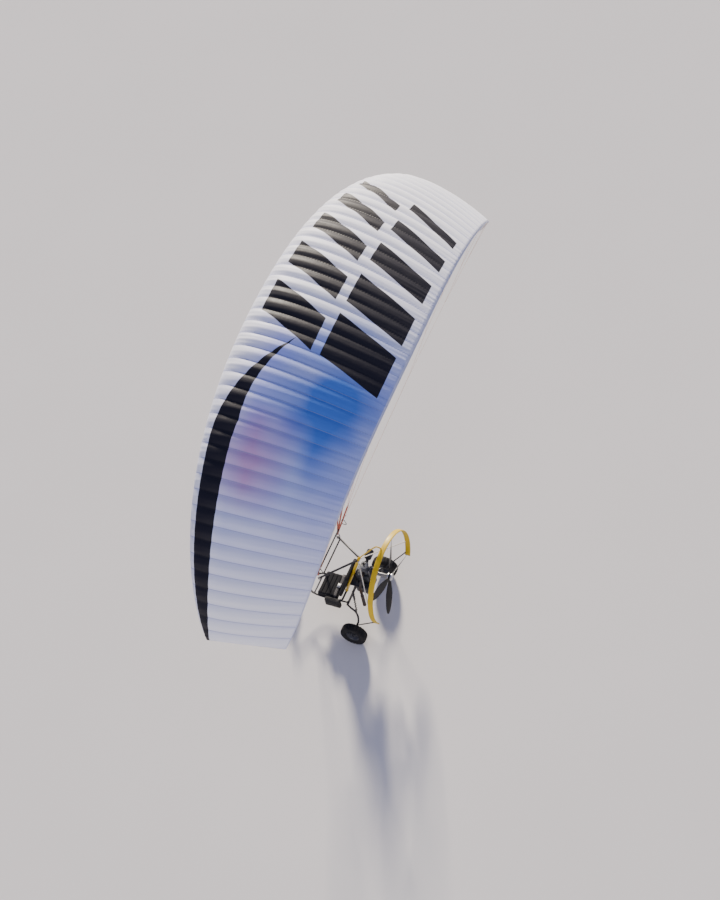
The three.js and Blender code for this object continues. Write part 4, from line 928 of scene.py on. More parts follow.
# Exhaust: a header pipe bends from the cylinder to a muffler that hangs beside the engine, both of blackened
# steel, held by springs and a rubber strap.
MUFFLER_FORWARD, MUFFLER_PORT, MUFFLER_LOW, MUFFLER_HIGH = -0.075, 0.275, 0.515, 0.805
MUFFLER_RADIUS, PIPE_RADIUS, SPRING_RADIUS, SPRING_WIRE = 0.029, 0.019, 0.0036, 0.0011
black_steel = weathered("exhaust_black_steel", (0.055, 0.05, 0.05), (0.10, 0.045, 0.022), (9.0, 5.0),
                        (2.6, 1.1, 0.7), (0.45, 0.3), (260.0, 2.0), (0.0004, 0.7), Metallic=0.8)


def muffler_point(height):
    return at(MUFFLER_FORWARD, MUFFLER_PORT, height)


rim_shape = ((MUFFLER_RADIUS - 0.006, 0.002), (MUFFLER_RADIUS, 0.008), (MUFFLER_RADIUS, 0.012),
             (MUFFLER_RADIUS - 0.0015, 0.014))
tall = MUFFLER_HIGH - MUFFLER_LOW
can = [(0.006, 0), (0.012, 0), *rim_shape, *((radius, tall - along) for radius, along in reversed(rim_shape)),
       (0.014, tall), (0.006, tall)]
header = [at(BARREL_FORWARD, 0.062, CASE_TOP + 0.052), at(BARREL_FORWARD, 0.130, CASE_TOP + 0.060),
          at(BARREL_FORWARD - 0.012, 0.240, CASE_TOP + 0.020), muffler_point(0.975),
          muffler_point(MUFFLER_HIGH - 0.008)]
pipes = [turned(can, muffler_point(MUFFLER_LOW), UP, 48), bent_tube(header, PIPE_RADIUS, along=14, around=6),
         rod(at(BARREL_FORWARD, 0.0663, CASE_TOP + 0.052), at(BARREL_FORWARD, 0.074, CASE_TOP + 0.053),
             0.030, 32),
         pin(muffler_point(MUFFLER_LOW), UP, 0, 0.01, 0.010, 20)]
pipes += [pin(muffler_point(height), UP, -0.006, 0.006, PIPE_RADIUS + 0.003, 32) for height in (0.845, 0.93)]
for turn in (0.6, 2.7, 4.8):
    out = Vector((cos(turn), sin(turn), 0)) * (PIPE_RADIUS + 0.006)
    low, high = muffler_point(0.846) + out, muffler_point(0.929) + out
    coils = [low.lerp(high, k / 48) + Vector((cos(k * 1.3), sin(k * 1.3), 0)) * SPRING_RADIUS
             for k in range(49)]
    pipes.append(bent_tube(coils, SPRING_WIRE, along=2, around=1))
build("exhaust_pipe", pipes, black_steel, "exhaust_dark", "exhaust")

# Intake: a moulded air box with ribs round its can, joined to the carburettor by a ribbed rubber sleeve. It
# sits to starboard of the cylinder.
BOX_FORWARD, BOX_NEAR, BOX_FAR, BOX_HEIGHT = -0.060, -0.150, -0.300, 1.240
BOX_RADIUS, NECK_RADIUS = 0.058, 0.024
BOX_LONG = BOX_NEAR - BOX_FAR
BOX_PROFILE = ((0.010, 0), (0.040, 0), (BOX_RADIUS - 0.003, 0.004), (BOX_RADIUS, 0.010),
               (BOX_RADIUS, BOX_LONG - 0.030), (BOX_RADIUS - 0.003, BOX_LONG - 0.028),
               (BOX_RADIUS - 0.003, BOX_LONG - 0.024), (BOX_RADIUS, BOX_LONG - 0.022),
               (BOX_RADIUS, BOX_LONG - 0.010), (BOX_RADIUS - 0.008, BOX_LONG - 0.002), (0.024, BOX_LONG),
               (0.022, BOX_LONG - 0.006), (0.010, BOX_LONG - 0.006))


def moulded(name, colour, rough=0.45):
    """Moulded plastic, scuffed pale in patches."""
    return weathered(name, colour, tinted(colour, 1, 0.03), (16.0, 5.0), (3, 1.4, 1), (rough - 0.06, 0.2),
                     (500.0, 1.0), (0.0004, 0.6), Specular_IOR_Level=0.45)


black_plastic = moulded("plastic_black", (0.014, 0.015, 0.019))
intake = [turned(BOX_PROFILE, at(BOX_FORWARD, BOX_NEAR, BOX_HEIGHT), -PORT, 56)]
neck_from, neck_to = at(BARREL_FORWARD, -0.0665, 1.1727), at(BOX_FORWARD, BOX_NEAR - 0.002, BOX_HEIGHT)
neck_way = (neck_to - neck_from).normalized()
intake.append(rod(neck_from + neck_way * 0.012, neck_to, NECK_RADIUS - 0.002, 36))
intake += [bead(neck_from.lerp(neck_to, 0.42 + k * 0.075), neck_way, NECK_RADIUS - 0.002, 0.0028)
           for k in range(7)]
for turn in range(10):
    out = Vector((0, cos(turn * tau / 10), sin(turn * tau / 10))) * BOX_RADIUS
    intake.append(pin(at(BOX_FORWARD, BOX_NEAR - 0.02, BOX_HEIGHT) + out, -PORT, 0, 0.095, 0.0022, 8))
build("air_can_moulded", intake, black_plastic, "tank_plastic", "air_box")
carb = [slab(neck_from + Vector((-0.030, -0.024, -0.018)), neck_from + Vector((0.0, 0.024, 0.030)), 0.005, 3),
        pin(neck_from - PORT * 0.014, UP, -0.044, -0.012, 0.018)]
carb += bolts([neck_from + Vector((-0.014, -0.024, 0.004))], -AFT, 0.004)
build("carburettor", carb, cast_pale, "engine_dark")

# Fuel tank: blow-moulded plastic with four stiffening waists, hung under the deck by two webbing bands that
# pass below it.
TANK_FRONT, TANK_REAR, TANK_HALF, TANK_LOW = 0.090, -0.150, 0.150, 0.657
WAIST_PORTS, WAIST_HALF, BAND_WIDTH, BAND_THICK = (-0.10, -0.033, 0.033, 0.10), 0.011, 0.025, 0.002
tank = [block(TANK_FRONT, TANK_REAR, -TANK_HALF, TANK_HALF, TANK_LOW, DECK_LOW - SEAT_GAP, 0.026, 5)]
tank += [block(TANK_FRONT - 0.002, TANK_REAR + 0.002, port - WAIST_HALF, port + WAIST_HALF, TANK_LOW + 0.045,
               DECK_LOW - 0.045, 0.004, 3) for port in WAIST_PORTS]
tank_plastic = moulded("tank_plastic_dark", (0.020, 0.022, 0.030), 0.38)
build("tank_moulded", tank, tank_plastic, "tank_plastic", "fuel_tank")
half_band = ((-0.97, DECK_LOW - 0.001), (-1.0, DECK_LOW - 0.04), (-1.0, TANK_LOW + 0.03),
             (-0.97, TANK_LOW + 0.008), (-0.9, TANK_LOW - 0.0015))
bands = []
for forward in (0.030, -0.095):
    path = [at(forward, a * (TANK_HALF + 0.001), height)
            for a, height in (*half_band, *((-share, up) for share, up in reversed(half_band)))]
    bands.append(strap(path, BAND_WIDTH, BAND_THICK, AFT))
    bands[-1].data.flip_normals()
build("tank_bands", bands, web_dark, "riser_webbing")

# Propeller: four moulded carbon blades in a split alloy hub, bolted through to the shaft. Each blade is broad
# past its middle, thin at the tip and twisted more towards the root.
BLADES, BLADE_TIP, BLADE_ROOT, BLADE_PHASE, BLADE_PITCH, BLADE_WASH = 4, 0.705, 0.040, radians(25), 25, 22
HUB_MIDDLE, HUB_BORE, HUB_SPLIT, HUB_BOLTS = (HUB_FRONT + HUB_REAR) / 2, 0.0145, 0.0163, 8
# Reach, chord and thickness along a blade.
BLADE_TABLE = np.array([
    (0.040, 0.034, 0.022), (0.090, 0.046, 0.021), (0.150, 0.070, 0.020), (0.235, 0.097, 0.016),
    (0.320, 0.118, 0.013), (0.420, 0.120, 0.011), (0.520, 0.112, 0.009), (0.600, 0.095, 0.007),
    (0.650, 0.076, 0.006), (0.685, 0.052, 0.005), (0.703, 0.026, 0.004)])
AROUND, ALONG = 28, 44
BOSS = ((HUB_BORE, 0), (0.050, 0), (0.052, 0.004), (0.052, 0.028), (0.050, 0.032), (HUB_BORE, 0.032))
HUB_CAP = ((0.0005, 0), (0.020, 0), (0.0205, 0.003), (0.018, 0.006), (0.010, 0.0075), (0.0005, 0.0078))


def blade(turn):
    """A cylinder cut into bands, each drawn out to the blade's section and twist at its reach."""
    piece = fresh(bpy.ops.mesh.primitive_cylinder_add, vertices=AROUND, radius=1, depth=2,
                  end_fill_type="NGON")
    edit(*((bpy.ops.mesh.bisect, {"plane_co": (0, 0, -1 + 2 * k / ALONG), "plane_no": (0, 0, 1)})
           for k in range(1, ALONG)))
    for vertex in piece.data.vertices:
        reach = BLADE_ROOT + (BLADE_TIP - BLADE_ROOT) * (vertex.co.z + 1) / 2
        chord, thick = (np.interp(reach, BLADE_TABLE[:, 0], BLADE_TABLE[:, column]) for column in (1, 2))
        angle = atan2(vertex.co.y, vertex.co.x)
        c = 0.5 * cos(angle)
        h = 0.5 * sin(angle) * (1.0 - 0.55 * c) * 0.95 + 0.05 * (0.25 - c * c)
        u, w = c * chord, h * thick
        twist = radians(BLADE_PITCH + BLADE_WASH * (1 - reach / BLADE_TIP))
        vertex.co = (u * cos(twist) - w * sin(twist), u * sin(twist) + w * cos(twist), reach)
    piece.data.transform(Matrix.Translation(shaft_point(HUB_MIDDLE)) @ Matrix.Rotation(-turn, 4, "Y"))
    return piece


weave = Finish("blade_carbon", Coat_Weight=0.10, Coat_Roughness=0.10, Specular_IOR_Level=0.18)
across, _, upward = weave.where.split()
tow = ((across * 1250.0).sine() * (upward * 1250.0).sine() * 4).clip()
weave.set(Base_Color=weave.mix((0.004, 0.004, 0.005), (0.011, 0.011, 0.013), tow),
          Roughness=0.30 + tow * 0.12, Normal=weave.bump(tow, 0.0001, 0.4))
blades = [blade(BLADE_PHASE + k * tau / BLADES) for k in range(BLADES)]
build("propeller_blades", [turned(BOSS, shaft_point(HUB_MIDDLE + 0.016), AFT), *blades], weave, "carbon",
      "propeller", body="propeller_rotor")
hub = []
for face, way in ((HUB_FRONT, -1), (HUB_REAR, 1)):
    deep = abs(face - HUB_MIDDLE) - HUB_SPLIT
    flange = ((HUB_BORE, 0), (HUB_RADIUS - 0.002, 0), (HUB_RADIUS, 0.002), (HUB_RADIUS, deep - 0.007),
              (HUB_RADIUS - 0.005, deep - 0.002), (0.044, deep - 0.001), (0.040, deep - 0.004),
              (0.026, deep - 0.004), (0.022, deep), (HUB_BORE, deep))
    hub.append(turned(flange, shaft_point(HUB_MIDDLE - way * HUB_SPLIT), AFT * way))
hub += bolts([shaft_point(HUB_REAR + 0.0012) + clock(BLADE_PHASE + (k + 0.5) * tau / HUB_BOLTS, 0.049)
              for k in range(HUB_BOLTS)], AFT, 0.0042, 0.004, 1.45)
hub.append(turned(HUB_CAP, shaft_point(HUB_REAR + 0.0045), AFT, 40))
build("propeller_hub_flanges", hub, alloy, "alloy", "propeller_hub", body="propeller_rotor")

# Propeller ring: a hoop of flattened yellow tube, open below between its two ends, where end caps are pressed
# in. It keeps hands and lines out of the blades.
RING_RADIUS, RING_WIDTH, RING_THICK, RING_FORWARD, RING_OPEN = 0.749, 0.088, 0.020, -0.477, radians(118)
RING_SIDES, RING_STEPS, RING_YELLOW = 28, 150, (0.60, 0.40, 0.0008)


def ring_point(angle, forward=RING_FORWARD):
    return at(forward, RING_RADIUS * sin(angle), PROP_HEIGHT + RING_RADIUS * cos(angle))


hoop = fresh(bpy.ops.mesh.primitive_circle_add, vertices=RING_SIDES, radius=1)
for vertex in hoop.data.vertices:
    c, s = vertex.co.x, vertex.co.y
    vertex.co = clock(-RING_OPEN, RING_RADIUS + RING_THICK / 2 * copysign(abs(s) ** 0.75, s))
    vertex.co.y = -RING_WIDTH / 2 * copysign(abs(c) ** 0.45, c)
round_ring = {"steps": RING_STEPS, "angle": 2 * RING_OPEN, "center": (0, 0, 0), "axis": (0, -1, 0)}
edit((bpy.ops.mesh.edge_face_add, {}), (bpy.ops.mesh.spin, round_ring), OUTWARDS)
hoop.data.transform(Matrix.Translation(shaft_point(RING_FORWARD)))
build("propeller_ring_hoop", [hoop], gloss_paint("ring_paint_yellow", RING_YELLOW, 0.04, 0.38), "ring_yellow",
      "propeller_ring")
caps = []
for side in (1, -1):
    half = Vector((0.003, RING_WIDTH * 0.93 / 2, RING_THICK * 1.12 / 2))
    cap, turn = slab(-half, half, 0.0025, 3), side * (RING_OPEN + 0.0012)
    cap.data.transform(Matrix.Translation(ring_point(turn)) @ Matrix.Rotation(turn, 4, "Y"))
    caps.append(cap)
build("ring_end_caps", caps, black_plastic, "frame_black")

# Ring stays: a bent yellow tube from the mast's top, a pale bar to each side and a short black one from each
# rear leg. Sleeves at their ends are clamped on the ring.
STAY_TOP, STAY_SIDE, STAY_LOW, STAY_FORWARD = 0.011, 0.008, 0.009, 0.026 + RING_FORWARD
STAY_CUT, SLEEVE_THICK, SIDE_TURN, LOW_TURN = 0.0115, 0.003, radians(97), radians(114)
TOP_BENDS = ((-0.070, 1.525), (-0.200, 1.702), (-0.330, 1.876), (-0.385, 1.925), (-0.432, 1.916),
             (STAY_FORWARD, PROP_HEIGHT + RING_RADIUS + 0.006))
top_path = [MAST_END - mast_way * 0.008, *(at(forward, 0, height) for forward, height in TOP_BENDS)]
top_stay = [bent_tube(top_path, STAY_TOP, along=14, around=5), pin(MAST_END, mast_way, 0, 0.012, 0.017, 32)]
build("ring_stay_top_tube", top_stay, yellow_paint, "mast_yellow", "ring_stay_top")
pale_paint = powder("stay_powder_pale", (0.74, 0.70, 0.58), 0.40, 0.3)
for label, side in SIDES:
    start = MAST_END - mast_way * 0.053 + PORT * (side * 0.012)
    end = ring_point(side * SIDE_TURN, STAY_FORWARD)
    way = (end - start).normalized()
    stay = [rod(start + way * 0.021, end - way * STAY_CUT, STAY_SIDE, 24),
            pin(end, way, -0.052, -STAY_CUT, STAY_SIDE + SLEEVE_THICK, 24),
            pin(start, way, 0.020, 0.055, STAY_SIDE + SLEEVE_THICK, 24)]
    build(f"ring_stay_side_tube_{label}", stay, pale_paint, "stay_pale", f"ring_stay_side_{label}")
    start, end = at(-0.022, side * 0.548, 0.310), ring_point(side * LOW_TURN, STAY_FORWARD)
    stay = welded(start, end, STAY_LOW, 24, (0.0168, STAY_CUT), (0.0185,))
    stay.append(pin(end, (end - start).normalized(), -0.048, -STAY_CUT, STAY_LOW + SLEEVE_THICK, 24))
    build(f"ring_stay_low_tube_{label}", stay, black_coat, "frame_black", f"ring_stay_low_{label}")

# Rear suspension: an arched steel tube to each wheel, which springs a little, with its stub axle. An alloy
# damper in a coil spring stands between it and the cradle strut.
LEG_BENDS = ((RAIL_REAR, CROSS_HALF + 0.002, RAIL_HEIGHT), (0.170, 0.320, 0.392), (0.010, 0.425, 0.440),
             (-0.045, 0.512, 0.402), (-0.022, 0.548, 0.310), (0.0, 0.556, 0.184))
TRACK, REAR_RADIUS, REAR_WIDE, REAR_BEAD = 0.663, 0.215, 0.138, 0.108
# The axle, its end nut and its washers: first and last distance to the side, radius and sides.
AXLE_PINS = ((0.540, TRACK + 0.048, 0.012, 32), (TRACK + 0.041, TRACK + 0.052, 0.020, 6),
             (0.5715, 0.577, 0.019, 32), (TRACK + 0.0402, TRACK + 0.0415, 0.024, 32))
COIL_TURNS, COIL_STEPS, COIL_RADIUS, COIL_WIRE = 7, 16, 0.0185, 0.0030
spring_paint = powder("spring_powder_grey", (0.034, 0.035, 0.038), 0.40, 0.2)
damper_body = powder("damper_anodised_black", (0.018, 0.018, 0.020), 0.34, 0.2)
for label, side in SIDES:
    out = PORT * side
    bends = [at(forward, side * port, height) for forward, port, height in LEG_BENDS]
    weld = at(RAIL_REAR - 0.004, side * (CROSS_HALF + 0.004), RAIL_HEIGHT + 0.004)
    leg = [bent_tube(bends, RAIL_RADIUS, along=16, around=6),
           bead(weld, (side, 0.6, 0.4), RAIL_RADIUS + 0.001)]
    leg += [pin(at(0, 0, REAR_RADIUS), out, *sizes) for sizes in AXLE_PINS]
    build(f"rear_leg_tube_{label}", leg, black_coat, "frame_black", f"rear_leg_{label}")
    mount = rail_point(RAIL_REAR, side * CRADLE_SIDE).lerp(cradle_top(side), 0.7)
    inner = mount + out * (CRADLE_RADIUS + SEAT_GAP)
    high, low = inner + out * 0.013, at(-0.008, side * 0.452, 0.438)
    way, reach = (low - high).normalized(), (low - high).length
    damper = [rod(high, low - way * 0.0165, 0.009), pin(high, way, 0.045, 0.135, 0.0165, 36),
              pin(high, way, 0.038, 0.046, 0.021, 36), pin(low, way, -0.103, -0.095, 0.021, 36),
              pin(inner, out, 0, 0.026, 0.012), bead(low - way * 0.018, way, 0.010, 0.003),
              *bolts([inner + out * 0.026], out)]
    build(f"damper_{label}", damper, damper_body, "alloy", f"shock_{label}")
    lean = way.orthogonal().normalized()
    turn_way = way.cross(lean)
    coil = []
    for k in range(COIL_TURNS * COIL_STEPS + 1):
        angle, along = k * tau / COIL_STEPS, 0.047 + (reach - 0.151) * k / (COIL_TURNS * COIL_STEPS)
        coil.append(high + way * along + (lean * cos(angle) + turn_way * sin(angle)) * COIL_RADIUS)
    build(f"damper_spring_{label}", [bent_tube(coil, COIL_WIRE, along=3, around=2)], spring_paint, "alloy")

# Wheels: moulded rubber tyres with blocks of tread, each on a pair of pressed alloy rim halves that are
# bolted together through the spokes, with sealed bearings on the axle.
NOSE_OUT, NOSE_WIDE, NOSE_BEAD = 0.180, 0.096, 0.092
SPOKES, HOLE_RADIUS, RIM_BACK, TREAD_BAND = 5, 0.0125, 0.0004, 0.35


def mirrored(half_profile):
    """A wheel's whole section from its starboard half."""
    return ([(radius, -along) for radius, along in half_profile]
            + [(radius, along) for radius, along in reversed(half_profile)])


def tyre(centre, radius, wide, bead_radius, steps, tread):
    """A tyre spun from its section; then blocks of the tread band are pushed out to the full radius."""
    half, wall, base = wide / 2, radius - bead_radius, radius - tread
    section = ((bead_radius, 0.66), (bead_radius + 0.006, 0.72), (bead_radius + 0.30 * wall, 0.94),
               (bead_radius + 0.52 * wall, 1.0), (bead_radius + 0.72 * wall, 0.985), (base - 0.013, 0.90),
               (base - 0.004, 0.76), (base, 0.50), (base + 0.0006, 0.20))
    lips = [(bead_radius + 0.004, share * half) for share in (0.50, -0.50)]
    piece = turned(mirrored([(out, share * half) for out, share in section]) + lips, Vector(), PORT, steps)
    for edge in piece.data.edges:
        edge.select = False
    for face in piece.data.polygons:
        x, y, z = face.center
        row = int(round((atan2(y, z) / tau + 0.5) * steps - 0.5)) % steps
        row += 2 * (abs(x / half) < TREAD_BAND) + (x / half > TREAD_BAND)
        face.select = hypot(y, z) > base - 0.011 and row % 4 < 3
    bpy.context.tool_settings.mesh_select_mode = (False, False, True)
    bpy.ops.object.mode_set(mode="EDIT")
    bpy.ops.mesh.extrude_region_shrink_fatten(TRANSFORM_OT_shrink_fatten={"value": tread - 0.001})
    bpy.ops.object.mode_set(mode="OBJECT")
    piece.data.transform(Matrix.Translation(centre))
    return piece


def spoke_spots(radius, first=0):
    """Points of a ring about the sideways axis, one for each spoke."""
    turns = [(k + first) * tau / SPOKES for k in range(SPOKES)]
    return [Vector((0, radius * sin(turn), radius * cos(turn))) for turn in turns]


def rim(name, centre, wide, bead_radius, axle):
    """Two pressed halves with five round holes, their bolts, the bearing seals and a valve."""
    half, outer = wide / 2, bead_radius - RIM_BACK
    section = ((axle + 0.0004, 0.040), (0.026, 0.040), (0.030, 0.036), (0.030, 0.016), (0.036, 0.012),
               (outer - 0.030, 0.010), (outer - 0.018, 0.024), (outer - 0.012, 0.66 * half),
               (outer - 0.006, 0.76 * half), (outer, 0.78 * half))
    body, hole_ring = turned(mirrored(section), Vector(), PORT, 72), outer / 2 + 0.004
    for spot in spoke_spots(hole_ring):
        body = cut(body, pin(spot, PORT, -0.05, 0.05, HOLE_RADIUS, soften=0))
    seal = ((axle + 0.0006, 0), (0.024, 0), (0.024, 0.0012), (axle + 0.0006, 0.0012))
    parts = [body]
    for way in (1, -1):
        heads = [spot + PORT * (way * 0.0100) for spot in spoke_spots(hole_ring + 0.004, 0.5)]
        parts += bolts(heads, PORT * way, 0.0055)
        parts.append(turned(seal, PORT * (way * 0.0395), PORT * way, 32))
    valve = [Vector((0.5 * half + along, 0, outer - drop)) for along, drop in ((0, 0.020), (0.030, 0.032))]
    parts.append(rod(*valve, 0.0035, 12))
    whole = join(name, parts)
    whole.data.transform(Matrix.Translation(centre))
    return whole


tyre_rubber = weathered("tyre_rubber", (0.009, 0.009, 0.009), (0.045, 0.038, 0.028), (7.0, 5.0),
                        (2.4, 1.0, 0.4), (0.68, 0.2), (160.0, 4.0), (0.0005, 0.7), Specular_IOR_Level=0.28)
rim_paint = powder("rim_powder_dark", (0.030, 0.031, 0.036), 0.34, 0.35)
# Each wheel: its name, its nodes, centre, radius, width, bead radius, tyre steps, tread and axle radius.
WHEELS = [(f"rear_{label}", f"rear_{{}}_{label}", at(0, side * TRACK, REAR_RADIUS), REAR_RADIUS, REAR_WIDE,
           REAR_BEAD, 96, 0.006, 0.012) for label, side in SIDES]
WHEELS.append(("nose", "nose_{}", NOSE_CENTRE, NOSE_OUT, NOSE_WIDE, NOSE_BEAD, 84, 0.005, 0.010))
for label, node, centre, radius, wide, bead_radius, steps, tread, axle in WHEELS:
    build(f"tyre_{label}", [tyre(centre, radius, wide, bead_radius, steps, tread)], tyre_rubber, "tyre",
          node.format("tyre"), body=f"wheel_{label}", angle=28)
    dress(rim(f"rim_{label}", centre, wide, bead_radius, axle), rim_paint, "rim_black", node.format("rim"),
          body=f"wheel_{label}")

# Steering fork: two black tube legs under a crown plate, with foot pegs in rubber and an axle bolt through
# the nose wheel. Its stem turns in the steering head.
FORK_SIDE, LEG_RADIUS, LEG_END, CROWN_LOW, CROWN_HIGH = 0.066, 0.011, -0.022, 0.204, 0.230
CROWN_HALF, CROWN_DEEP, PEG_REACH, PEG_HEIGHT, PEG_FOOT, PEG_RINGS = 0.080, 0.022, 0.240, 0.118, 0.125, 9
# Stem, top nut and lower race: their ends up the column, radius and sides.
STEM_PINS = ((CROWN_HIGH - 0.004, HEAD_HIGH + 0.026, 0.0137, 32),
             (HEAD_HIGH + 0.001, HEAD_HIGH + 0.018, 0.021, 6),
             (CROWN_HIGH + 0.001, HEAD_LOW - 0.0012, 0.020, 32))
# Nut, washer and spacer on each side of the axle: their ends, radius and sides.
NUT_PINS = ((0.0805, 0.092, 0.0165, 6), (0.0777, 0.0803, 0.019, 28), (0.0406, 0.0545, 0.0145, 28))
corner = Vector((CROWN_HALF, CROWN_DEEP, 0))
crown = slab(UP * CROWN_LOW - corner, UP * CROWN_HIGH + corner, 0.005, 4)
crown.data.transform(Matrix.Translation(NOSE_CENTRE) @ Matrix.Rotation(-RAKE, 4, "X"))
fork = [crown, *(rod(on_column(0, low), on_column(0, high), *sizes) for low, high, *sizes in STEM_PINS)]
pegs = []
for side in (1, -1):
    x, out, peg = side * FORK_SIDE, PORT * side, on_column(0, PEG_HEIGHT)
    leg = cut(rod(on_column(x, LEG_END), on_column(x, CROWN_LOW + 0.006), LEG_RADIUS, 32),
              pin(on_column(x, 0), PORT, -0.03, 0.03, 0.0103, 24, soften=0))
    fork += [leg, bead(on_column(x, CROWN_LOW), column_way, LEG_RADIUS, 0.003),
             pin(peg, out, FORK_SIDE + 0.010, PEG_REACH, LEG_RADIUS - 0.0015),
             bead(peg + out * (FORK_SIDE + 0.012), PORT, LEG_RADIUS - 0.001, 0.003)]
    rings = [bead(peg + out * (PEG_FOOT + 0.005 + k * 0.012), PORT, LEG_RADIUS, 0.0022)
             for k in range(PEG_RINGS)]
    pegs += [pin(peg, out, PEG_FOOT, PEG_REACH - 0.002, LEG_RADIUS), *rings,
             pin(peg, out, PEG_REACH - 0.006, PEG_REACH + 0.001, LEG_RADIUS + 0.003)]
build("fork_tubes", fork, black_coat, "frame_black", "front_fork", body="steering_fork")
build("peg_grips", pegs, grip_rubber, "tyre", body="steering_fork")
axle = [pin(NOSE_CENTRE, PORT, -0.090, 0.090, 0.0098)]
axle += [pin(NOSE_CENTRE, PORT * side, *sizes) for side in (1, -1) for sizes in NUT_PINS]
build("axle_nose", axle, steel, "alloy", "nose_axle", body="steering_fork")

# Seat: a foam base on the rails and a back against the mast, covered in black spacer mesh with sewn channels
# and piped edges; a lap belt lies across the base.
SEAT_HALF, SEAT_REAR, SEAT_FRONT, SEAT_THICK, SEAT_LOW = 0.235, 0.430, 0.815, 0.070, 0.3313
BACK_LOW, BACK_HIGH, BACK_THICK, BACK_HALF = 0.112, 0.760, 0.062, 0.227
BASE_CHANNELS, BACK_CHANNELS = (-0.105, -0.035, 0.035, 0.105), (-0.20, -0.12, -0.04, 0.04, 0.12, 0.20)
PAD_SLIM, PAD_ROUND, PAD_VOXEL, PAD_PRESSURE, PAD_FRAMES, SWELL_CAP = 0.007, 0.024, 0.006, 4.0, 20, 0.010
CHANNEL_WIDE, CHANNEL_DEEP, PIPE_STEPS, PIPING_RADIUS = 0.0085, 0.010, 120, 0.0028


def blow_up(pad):
    """Swells the cover as cloth under pressure, by no more than the cap."""
    before = np.array([vertex.co for vertex in pad.data.vertices])
    cover = pad.modifiers.new("cover", "CLOTH")
    adjust(cover.settings, use_pressure=True, uniform_pressure_force=PAD_PRESSURE)
    cover.settings.effector_weights.gravity = 0
    for step in range(1, PAD_FRAMES + 1):
        bpy.context.scene.frame_set(step)
    blown = pad.evaluated_get(bpy.context.evaluated_depsgraph_get())
    moved = np.array([vertex.co for vertex in blown.data.vertices]) - before
    pad.modifiers.remove(cover)
    bpy.context.scene.frame_set(1)
    moved *= np.minimum(1, SWELL_CAP / np.maximum(np.linalg.norm(moved, axis=1, keepdims=True), 1e-9))
    pad.data.vertices.foreach_set("co", (before + moved).ravel())


def cushion(half, long, thick, channels, place):
    """A stuffed pad: blown up as cloth, flat underneath, then drawn in along its sewn channels."""
    pad = fresh(bpy.ops.mesh.primitive_cube_add, size=1)
    for vertex in pad.data.vertices:
        x, y, z = vertex.co
        vertex.co = (x * 2 * (half - PAD_SLIM), y * (long - 2 * PAD_SLIM),
                     (z + 0.5) * (thick - 0.012) + 0.002)
    modify(pad, "BEVEL", width=PAD_ROUND, segments=5)
    modify(pad, "REMESH", mode="VOXEL", voxel_size=PAD_VOXEL)
    blow_up(pad)
    modify(pad, "SUBSURF", levels=1, render_levels=1)
    for vertex in pad.data.vertices:
        x, y, z = vertex.co
        x, y = max(-half, min(half, x)), max(-long / 2, min(long / 2, y))
        middle = max(0.0, 1 - (abs(x) / (half - 0.012)) ** 8)
        if z > thick * 0.5:
            z -= CHANNEL_DEEP * max(exp(-(((y - seam) / CHANNEL_WIDE) ** 2)) for seam in channels) * middle
        vertex.co = (x, y, max(0.0, min(thick - 0.0005, z)))
    pad.data.transform(place)
    return pad


def surface(pad, turn=Matrix()):
    """The pad's cover, for rays to meet."""
    return BVHTree.FromPolygons([turn @ vertex.co for vertex in pad.data.vertices],
                                [tuple(face.vertices) for face in pad.data.polygons])


def piping(pad, place, half, long, height):
    """A covered cord sewn round the edge of a pad, laid where rays from outside meet the cover."""
    tree, rise = surface(pad, place.inverted()), UP * height
    aims, reach = [], []
    for k in range(PIPE_STEPS):
        c, s = cos(k * tau / PIPE_STEPS), sin(k * tau / PIPE_STEPS)
        aims.append(Vector((copysign(abs(c) ** 0.25, c) * half, copysign(abs(s) ** 0.25, s) * long / 2, 0)))
        hit = tree.ray_cast(aims[-1] * 1.5 + rise, -aims[-1].normalized())[0]
        reach.append(hypot(hit.x, hit.y) / aims[-1].length if hit else 0.97)
    widest = [max(reach[(k + step) % PIPE_STEPS] for step in range(-3, 4)) for k in range(PIPE_STEPS)]
    even = [sum(widest[(k + step) % PIPE_STEPS] for step in range(-2, 3)) / 5 for k in range(PIPE_STEPS)]
    path = [place @ (aim * share + rise) for aim, share in zip(aims, even)]
    return bent_tube(path, PIPING_RADIUS, closed=True, along=2, around=2)


seat_cover = Finish("seat_spacer_mesh", Specular_IOR_Level=0.18)
x, y, z = seat_cover.where.split()
cell = ((x * 900.0).sine() * ((y + z) * 900.0).sine() * 1.6 + 0.5).clip()
wear = seat_cover.noise(8.0, 4.0)
thread = cell * (0.6 + wear * 0.6)
seat_cover.set(Base_Color=seat_cover.mix((0.005, 0.005, 0.006), (0.020, 0.020, 0.023), thread),
               Roughness=0.75 + wear * 0.2, Normal=seat_cover.bump(cell, 0.0006, 0.9))
back_tilt = atan2(SEAT_CROSS, MAST_TOP.z - RAIL_HEIGHT)
back_out = Vector((0, -cos(back_tilt), sin(back_tilt)))
base_place = Matrix.Translation(at((SEAT_REAR + SEAT_FRONT) / 2, 0, SEAT_LOW))
foot = MAST_FOOT + mast_way * ((BACK_LOW + BACK_HIGH) / 2) + back_out * (MAST_RADIUS + SEAT_GAP)
back_place = Matrix.Translation(foot) @ Matrix([PORT, mast_way, back_out]).transposed().to_4x4()
for name, half, long, thick, channels, place in (
        ("seat_base", SEAT_HALF, SEAT_FRONT - SEAT_REAR, SEAT_THICK, BASE_CHANNELS, base_place),
        ("seat_back", BACK_HALF, BACK_HIGH - BACK_LOW, BACK_THICK, BACK_CHANNELS, back_place)):
    stuffed = cushion(half, long, thick, channels, place)
    pad = build(f"{name}_pad", [stuffed], seat_cover, "seat_fabric", name, angle=60)
    cord = piping(pad, place, half, long, thick * 0.80)
    build(f"{name}_piping", [cord], grip_rubber, "seat_fabric", angle=60)

